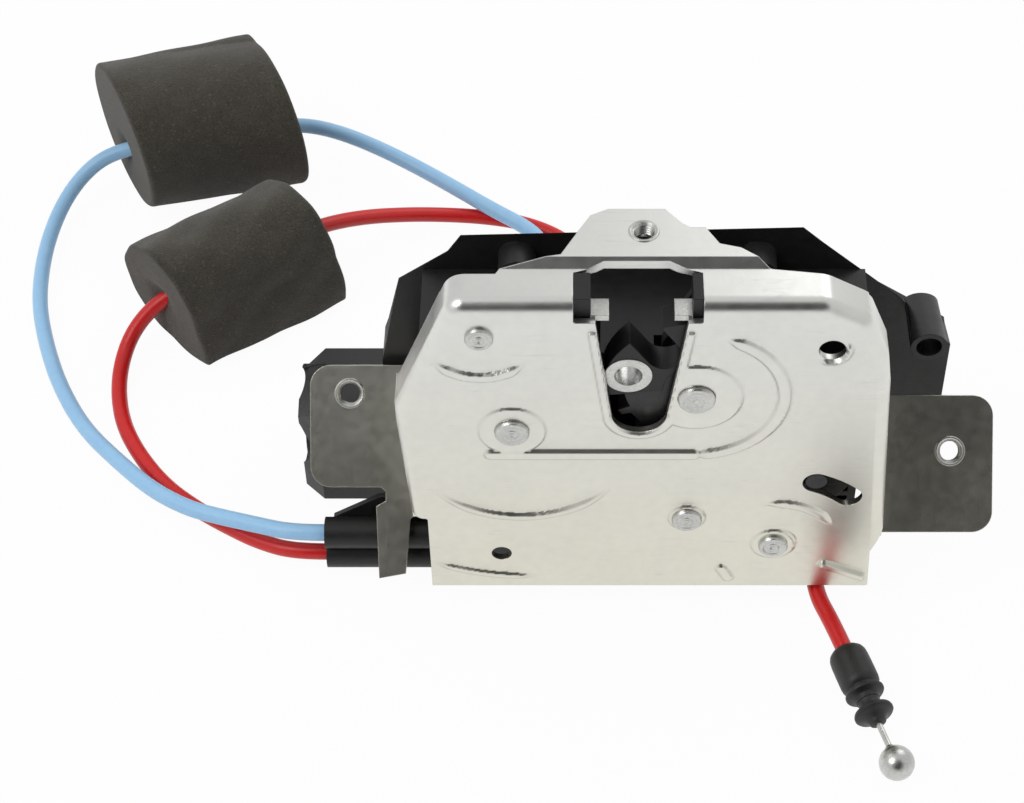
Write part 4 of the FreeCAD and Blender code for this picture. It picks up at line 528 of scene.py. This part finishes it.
def arcGap(x, z, centre, radius, span):
    # Distance to an arc, and how far along it the nearest point is from the nearer end.
    middle = math.radians((span[0] + span[1]) / 2)
    half = math.radians((span[1] - span[0]) / 2)
    away = np.hypot(x - centre[0], z - centre[1])
    turn = (np.arctan2(z - centre[1], x - centre[0]) - middle + np.pi) % (2 * np.pi) - np.pi
    held = np.clip(turn, -half, half)
    nearX = centre[0] + radius * np.cos(middle + held)
    nearZ = centre[1] + radius * np.sin(middle + held)
    return np.hypot(x - nearX, z - nearZ), (half - np.abs(held)) * radius


def lineGap(x, z, start, end):
    alongX, alongZ = end[0] - start[0], end[1] - start[1]
    share = ((x - start[0]) * alongX + (z - start[1]) * alongZ) / (alongX ** 2 + alongZ ** 2)
    share = np.clip(share, 0, 1)
    return np.hypot(x - start[0] - share * alongX, z - start[1] - share * alongZ)


def pressedRelief(x, z, look):
    # Height of the pressing in front of the plate: each bead is a flat top with smooth sides.
    slope = look["slope"]
    height = np.zeros_like(x)
    for centre, radius, lift in look["bosses"]:
        gap = np.hypot(x - centre[0], z - centre[1]) - radius
        height = np.maximum(height, lift * smooth(1 - gap / slope))
    for centre, radius, span, half, lift, taper in look["arcs"]:
        gap, inward = arcGap(x, z, centre, radius, span)
        wide = half * smooth(inward / taper + 0.12)
        bead = smooth((wide + slope - gap) / slope) * smooth(inward / taper + 0.25)
        height = np.maximum(height, lift * bead)
    for start, end, half, lift in look["lines"]:
        gap = lineGap(x, z, start, end)
        height = np.maximum(height, lift * smooth((half + slope - gap) / slope))
    return height


def edgeDistance(x, z, starts, ends):
    # Distance and nearest point of the outline's edges, and whether a point is inside them.
    best = np.full(x.shape, 1e9)
    nearX, nearZ = x.copy(), z.copy()
    inside = np.zeros(x.shape, bool)
    for (x0, z0), (x1, z1) in zip(starts, ends):
        runX, runZ = x1 - x0, z1 - z0
        share = np.clip(((x - x0) * runX + (z - z0) * runZ) / max(runX ** 2 + runZ ** 2, 1e-9), 0, 1)
        footX, footZ = x0 + share * runX, z0 + share * runZ
        gap = np.hypot(x - footX, z - footZ)
        closer = gap < best
        best = np.where(closer, gap, best)
        nearX, nearZ = np.where(closer, footX, nearX), np.where(closer, footZ, nearZ)
        crosses = (z0 > z) != (z1 > z)
        if abs(runZ) > 1e-9:
            inside ^= crosses & (x < x0 + (z - z0) * runX / runZ)
    return best, nearX, nearZ, inside


def makeLockPlate(look):
    # The CAD plate with its flat front taken off, and in its place a fine grid of the same outline
    # whose depth is the pressed relief, rolled back to the sheet at every cut edge.
    points, triangles = cadArrays("lock_plate")
    front = (points[:, 1] < 0.002)[triangles].all(1)
    kept = triangles[~front]
    taken = triangles[front]
    points[:, 1] = np.maximum(points[:, 1], 0.0)
    pairs = np.sort(np.concatenate([kept[:, [0, 1]], kept[:, [1, 2]], kept[:, [2, 0]]]), 1)
    unique, count = np.unique(pairs, axis=0, return_counts=True)
    rim = unique[(count == 1) & (points[unique[:, 0], 1] < 0.002) & (points[unique[:, 1], 1] < 0.002)]
    starts, ends = points[rim[:, 0]][:, [0, 2]], points[rim[:, 1]][:, [0, 2]]
    step = look["step"]
    low, high = points[taken.ravel()].min(0) - 1, points[taken.ravel()].max(0) + 1
    x, z = np.meshgrid(np.arange(low[0], high[0], step), np.arange(low[2], high[2], step))
    gap, nearX, nearZ, inside = edgeDistance(x, z, starts, ends)
    x = np.where(inside, x, nearX)
    z = np.where(inside, z, nearZ)
    gap = np.where(inside, gap, 0.0)
    lift = pressedRelief(x, z, look)
    rimLook = look["slotRim"]
    slotGap = np.where((np.abs(x) < 19) & (z > 74) & (z < rimLook["below"]), gap, 99.0)
    lift = np.maximum(lift, rimLook["lift"] * smooth((rimLook["width"] + 0.8 - slotGap) / 0.8))
    lip = look["lanceLip"]
    lipX, lipZ = x - lip["at"][0], z - lip["at"][1]
    lipAway = np.hypot(lipX, lipZ)
    facing = (lipX * lip["side"][0] + lipZ * lip["side"][1]) / np.maximum(lipAway, 0.1)
    lift = np.maximum(lift, lip["lift"] * smooth((facing - 0.1) / 0.5)
                      * smooth(1 - np.abs(lipAway - lip["radius"] - 0.9) / lip["width"]))
    depth = -lift * (1 - np.exp(-(gap / 0.35) ** 2))
    # Painted shade for the zinc finish: strongest where the relief climbs upwards, on the bead sides that
    # face down, and weaker on every other slope.
    climb = np.gradient(lift, step, axis=0)
    slant = np.hypot(climb, np.gradient(lift, step, axis=1))
    crease_and_painted_shade = np.clip((0.35 * slant + 0.9 * np.maximum(climb, 0)) / look["steep"], 0, 1).ravel()
    skin = np.stack([x, depth, z], 2).reshape(-1, 3)
    quads = gridFaces(x.shape[0], x.shape[1], False)
    insideFlat = inside.ravel()
    farOut = (~insideFlat) & (gridShift(nearX, nearZ, low, step, x.shape) > 1.6 * step)
    use = insideFlat[quads].any(1) & ~farOut[quads].any(1)
    quads = quads[use]
    used, index = np.unique(quads, return_inverse=True)
    skin = skin[used]
    crease_and_painted_shade = np.concatenate([np.zeros(len(points)), crease_and_painted_shade[used]])
    quads = index.reshape(-1, 4) + len(points)
    faces = [*kept.tolist(), *quads.tolist()]
    piece = makeMesh("lockPlate", np.concatenate([points, skin]), faces, "zinc_steel", "frame", tidy=False,
                     angle=32)
    shade = piece.data.attributes.new("crease_and_painted_shade", "FLOAT", "POINT")
    shade.data.foreach_set("value", crease_and_painted_shade)
    work = bmesh.new()
    work.from_mesh(piece.data)
    loose = [point for point in work.verts if not point.link_faces]
    bmesh.ops.delete(work, geom=loose, context="VERTS")
    work.to_mesh(piece.data)
    work.free()
    piece.data.set_sharp_from_angle(angle=math.radians(32))
    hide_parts("lock_plate")
    return piece


def gridShift(nearX, nearZ, low, step, shape):
    # How far each grid point had to move to its nearest outline point.
    column, row = np.meshgrid(np.arange(shape[1]), np.arange(shape[0]))
    return np.hypot(nearX - (low[0] + column * step), nearZ - (low[2] + row * step)).ravel()


makeLockPlate(reliefLook)
print("front face pressed")


# Rivets with spun heads

rivetLooks = {
    "catchRivet": {"node": "catch_rivet", "at": (15.2, 91.9), "head": 5.0, "shank": 4.5, "face": 0.7,
                   "end": 22.0, "dimple": 1.5},
    "pawlRivet": {"node": "pawl_rivet", "at": (-34.4, 78.4), "head": 4.7, "shank": 4.0, "face": 0.7,
                  "end": 17.4, "dimple": 1.2},
    "transferRivet": {"node": "transfer_rivet", "at": (14.3, 40.8), "head": 4.3, "shank": 2.8, "face": 0.7,
                      "end": 17.4, "dimple": 1.2},
    "releaseRivet": {"node": "release_rivet", "at": (39.4, 28.9), "head": 4.2, "shank": 2.8, "face": 0.7,
                     "end": 17.4, "dimple": 1.2},
    "cornerRivet": {"node": "corner_rivet", "at": (-42.3, 115.0), "head": 3.8, "shank": 2.8, "face": 0.0,
                    "end": 17.4, "dimple": 1.0},
}


def makeRivet(name, look):
    # A rivet turned from its profile: centre dimple, raised ring, groove and rolled head edge.
    head, shank, face, end, dimple = (look[key] for key in ("head", "shank", "face", "end", "dimple"))
    profile = [(-face - 0.75, 0), (-face - 0.8, dimple * 0.35), (-face - 1.15, dimple * 0.8),
               (-face - 1.25, dimple), (-face - 1.2, dimple * 1.25), (-face - 0.95, dimple * 1.5),
               (-face - 0.95, head * 0.62), (-face - 1.2, head * 0.7), (-face - 1.3, head * 0.8),
               (-face - 1.15, head * 0.92), (-face - 0.7, head * 0.995), (-face - 0.3, head), (-face, head),
               (-face, shank), (end - 1.9, shank), (end - 1.4, shank + 0.9), (end - 0.4, shank + 0.7),
               (end, shank - 0.5), (end, 0)]
    piece = turnProfile(name, (look["at"][0], 0, look["at"][1]), (0, 1, 0), profile, "bright_steel", "frame")
    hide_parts(look["node"])
    return piece


for name, look in rivetLooks.items():
    makeRivet(name, look)


# Rear unit: its roof slopes down to the rear, and so does the motor sleeve's

caseLook = {"front": 48.0, "deep": 12.0, "fall": 16.6, "from": 52.0, "full": 94.0,
            "dome": (18.0, 46.25, 31.0),
            "screws": ((-60, 83), (-36, 6), (56, 7), (82, 53), (40, 101), (-42, 99)), "screwReach": 4.8,
            "sleeveRight": -59.0, "sleeveTop": (32.0, 39.1), "sleeveFront": 40.0, "sleeveDeep": 36.0,
            "sleeveFall": 10.0, "bore": (58.0, 19.5, 15.8)}


def roofFall(x, y, z, look):
    # The fall grows with depth, and with height from nothing to full; a screw falls as its centre does.
    rise = z.copy()
    for placeX, placeZ in look["screws"]:
        rise = np.where(np.hypot(x - placeX, z - placeZ) < look["screwReach"], placeZ, rise)
    fall = look["fall"] * np.clip((rise - look["from"]) / (look["full"] - look["from"]), 0, 1)
    domeX, domeZ, reach = look["dome"]
    fall = np.where(np.hypot(x - domeX, z - domeZ) < reach, 0, fall)
    return fall * np.clip((y - look["front"]) / look["deep"], 0, 1)


def sleeveFall(x, y, z, look):
    low, high = look["sleeveTop"]
    boreY, boreZ, reach = look["bore"]
    roof = (x < look["sleeveRight"]) & (z > low) & (z < high) & (np.hypot(y - boreY, z - boreZ) > reach)
    return roof * look["sleeveFall"] * np.clip((y - look["sleeveFront"]) / look["sleeveDeep"], 0, 1)


def makeSloped(name, node, slot, look):
    # The CAD piece's own surface with each point lowered by the two falls.
    points, triangles = cadArrays(node)
    x, y, z = points.T
    points[:, 2] = z - roofFall(x, y, z, look) - sleeveFall(x, y, z, look)
    piece = makeMesh(name, points, triangles.tolist(), slot, "frame", tidy=False, angle=28)
    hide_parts(node)
    return piece


for name, node in (("rearCase", "drive_case"), ("rearCover", "drive_cover"), ("rearScrews", "cover_screws")):
    makeSloped(name, node, slots[node], caseLook)


seatLook = {"front": 8.0}


def makeSeat(look):
    # The sheath seat, cut back so that it stays behind the plate's lower edge.
    points, triangles = cadArrays("sheath_seat")
    points[:, 1] = np.maximum(points[:, 1], look["front"])
    seat = makeMesh("sheathSeat", points, triangles.tolist(), slots["sheath_seat"], "frame", tidy=False)
    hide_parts("sheath_seat")


makeSeat(seatLook)


# Two inner plates that show dark: both take the near-black blued_steel finish instead of their own. On the
# back plate, whose own finish is zinc, this is painted shade where it lies in shadow inside the slot.

def makeDark(name, node):
    points, triangles = cadArrays(node)
    # Near-black finish: painted shade for the back plate, whose own finish is zinc.
    plate = makeMesh(name, points, triangles.tolist(), "blued_steel", "frame", tidy=False)
    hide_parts(node)


makeDark("backPlate", "back_plate")
makeDark("glandBracket", "gland_bracket")


# Threads in the three fixing holes

plateTop = float(cadArrays("lock_plate")[0][:, 2].max())
threadLooks = {
    "leftEarThread": {"at": (-82.9, 39.81, 48.81), "axis": (0, 1, -1), "bore": 3.3, "deep": 3.3},
    "rightEarThread": {"at": (92.1, 27.86, 36.86), "axis": (0, 1, -1), "bore": 3.3, "deep": 3.3},
    "tabThread": {"at": (0.8, 25.0, plateTop), "axis": (0, 0, -1), "bore": 3.0, "deep": 3.8},
}


def makeThread(name, look, pitch=0.8, tooth=0.42, sides=64):
    # A countersunk rim, then a wall whose radius is a triangle wave of depth over pitch plus the turn.
    along, first, second = across(look["axis"])
    turn = np.linspace(0, 2 * np.pi, sides, endpoint=False)
    rim = np.array([(0.0, 1.15), (-0.28, 0.95), (-0.32, 0.6), (-0.1, 0.2), (0.35, -0.04)])
    depth = np.linspace(0.4, look["deep"], 60)
    wave = np.abs((depth[:, None] / pitch + turn / (2 * np.pi)) % 1 * 2 - 1)
    reach = np.concatenate([np.repeat(rim[:, 1:], sides, 1), -0.04 - tooth * wave]) + look["bore"]
    depths = np.concatenate([rim[:, 0], depth])
    ring = np.cos(turn)[:, None] * first + np.sin(turn)[:, None] * second
    points = np.array(look["at"], float) + depths[:, None, None] * along + reach[:, :, None] * ring
    return makeMesh(name, points.reshape(-1, 3), gridFaces(len(depths), sides, True), "bright_steel", "frame",
                    angle=30)


for name, look in threadLooks.items():
    makeThread(name, look)
print("rear unit sloped, threads cut")


# Boot, grommet and ball of the release cable

endLook = {"start": (60.6, -21.5, 5.8), "heading": (0.289, -0.957, 0.0), "boot": 18.0, "reach": 39.4,
           "ball": 5.0, "wire": 0.9}
bootProfile = [(-0.3, 2.4), (-0.3, 3.2), (0.1, 4.3), (0.9, 5.1), (2.0, 5.55), (3.6, 5.7), (8.0, 5.75),
               (11.0, 5.75), (12.3, 5.6), (13.2, 5.0), (13.6, 4.6), (14.2, 4.6), (14.5, 5.5), (14.9, 5.78),
               (15.4, 5.78), (15.8, 5.5), (16.1, 4.4), (16.6, 3.7), (18.0, 3.5), (18.0, 0.0)]
grommetProfile = [(18.0, 0.95), (18.0, 3.4), (18.8, 3.2), (19.8, 3.1), (20.6, 3.4), (21.2, 4.6), (21.5, 5.6),
                  (22.0, 5.8), (22.5, 5.8), (22.9, 5.5), (23.3, 4.4), (23.9, 3.3), (24.8, 2.7), (25.6, 2.4),
                  (25.9, 1.9), (25.9, 0.95)]


def ballProfile(look):
    # A wire ferrule that widens into a ball: half circle of the ball's radius about its centre.
    half = np.linspace(math.radians(158), 0, 26)
    ball = [(look["reach"] + look["ball"] * math.cos(turn), look["ball"] * math.sin(turn)) for turn in half]
    neck = look["reach"] - look["ball"]
    return [(neck - 0.4, 0.0), (neck - 0.4, 1.35), (neck - 0.1, 1.6)] + ball


boot = turnProfile("bootRubber", endLook["start"], endLook["heading"], bootProfile, "rubber", "frame")
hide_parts("end_boot")
grommet = turnProfile("grommetRubber", endLook["start"], endLook["heading"], grommetProfile, "rubber",
                      "frame")
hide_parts("end_grommet")
ball = turnProfile("ballEnd", endLook["start"], endLook["heading"], ballProfile(endLook), "bright_steel",
                   "pull", sides=56)
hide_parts("ball_end")
print("release cable end made")


# Floor, world and lamps

stageLook = {"floor": (0.88, 0.88, 0.88), "white": 0.96, "size": 6.0, "world": 0.74, "dark": 0.02,
             "darkToward": (0.0, -0.749, 0.663), "darkFrom": 0.76, "darkFull": 0.92, "key": 4.2, "fill": 2.0}


def makeFloor(look):
    # A pale floor that the camera and reflections see as almost white, with a light shadow left in it.
    mesh = bpy.data.meshes.new("floor")
    half = look["size"] / 2
    mesh.from_pydata([(-half, -half, 0), (half, -half, 0), (half, half, 0), (-half, half, 0)], [],
                     [(0, 1, 2, 3)])
    material = bpy.data.materials.new("paleFloor")
    material.use_nodes = True
    tree = material.node_tree
    tree.nodes.clear()
    cloth = add(tree, "BsdfPrincipled", {"Base Color": solid(look["floor"]), "Roughness": 0.8,
                                         "Specular IOR Level": 0.2})
    glow = add(tree, "Emission", {"Color": (1, 1, 1, 1), "Strength": 1.0})
    path = add(tree, "LightPath")
    straight = add(tree, "Math", {0: path.outputs["Is Camera Ray"], 1: path.outputs["Is Glossy Ray"]},
                   operation="ADD")
    seen = add(tree, "Math", {0: straight.outputs[0], 1: path.outputs["Is Transmission Ray"]},
               operation="ADD")
    share = add(tree, "Math", {0: seen.outputs[0], 1: look["white"]}, operation="MULTIPLY", use_clamp=True)
    mixed = add(tree, "MixShader", {0: share.outputs[0], 1: cloth.outputs[0], 2: glow.outputs[0]})
    add(tree, "OutputMaterial", {"Surface": mixed.outputs[0]})
    mesh.materials.append(material)
    floor = bpy.data.objects.new("floor", mesh)
    bpy.context.scene.collection.objects.link(floor)


def makeWorld(look):
    # A pale studio, dark only in the part of the room that the sloped ears mirror.
    world = bpy.data.worlds.new("studio")
    bpy.context.scene.world = world
    world.use_nodes = True
    tree = world.node_tree
    tree.nodes.clear()
    way = add(tree, "TexCoord").outputs["Generated"]
    toward = add(tree, "VectorMath", {0: way, 1: look["darkToward"]}, operation="DOT_PRODUCT")
    near = add(tree, "MapRange", {"Value": toward.outputs["Value"], "From Min": look["darkFrom"],
                                  "From Max": look["darkFull"]},
               interpolation_type="SMOOTHSTEP")
    tone = blendColours(tree, near.outputs[0], solid((look["world"],) * 3), solid((look["dark"],) * 3))
    path = add(tree, "LightPath")
    seen = blendColours(tree, path.outputs["Is Camera Ray"], tone, (1, 1, 1, 1))
    sky = add(tree, "Background", {"Color": seen, "Strength": 1.0})
    add(tree, "OutputWorld", {"Surface": sky.outputs[0]})


def makeLamp(name, place, toward, size, power):
    data = bpy.data.lights.new(name, "AREA")
    data.shape = "DISK"
    data.size = size
    data.energy = power
    lamp = bpy.data.objects.new(name, data)
    lamp.location = place
    lamp.rotation_euler = (Vector(toward) - Vector(place)).to_track_quat("-Z", "Y").to_euler()
    bpy.context.scene.collection.objects.link(lamp)


makeFloor(stageLook)
makeWorld(stageLook)
makeLamp("keyLamp", (-0.7, -0.35, 1.0), (0, 0.05, 0.05), 0.7, stageLook["key"])
makeLamp("backLamp", (0.5, 0.9, 0.9), (0, 0.05, 0.05), 0.8, stageLook["fill"])
bpy.context.scene.view_settings.view_transform = "Standard"
print("stage lit")
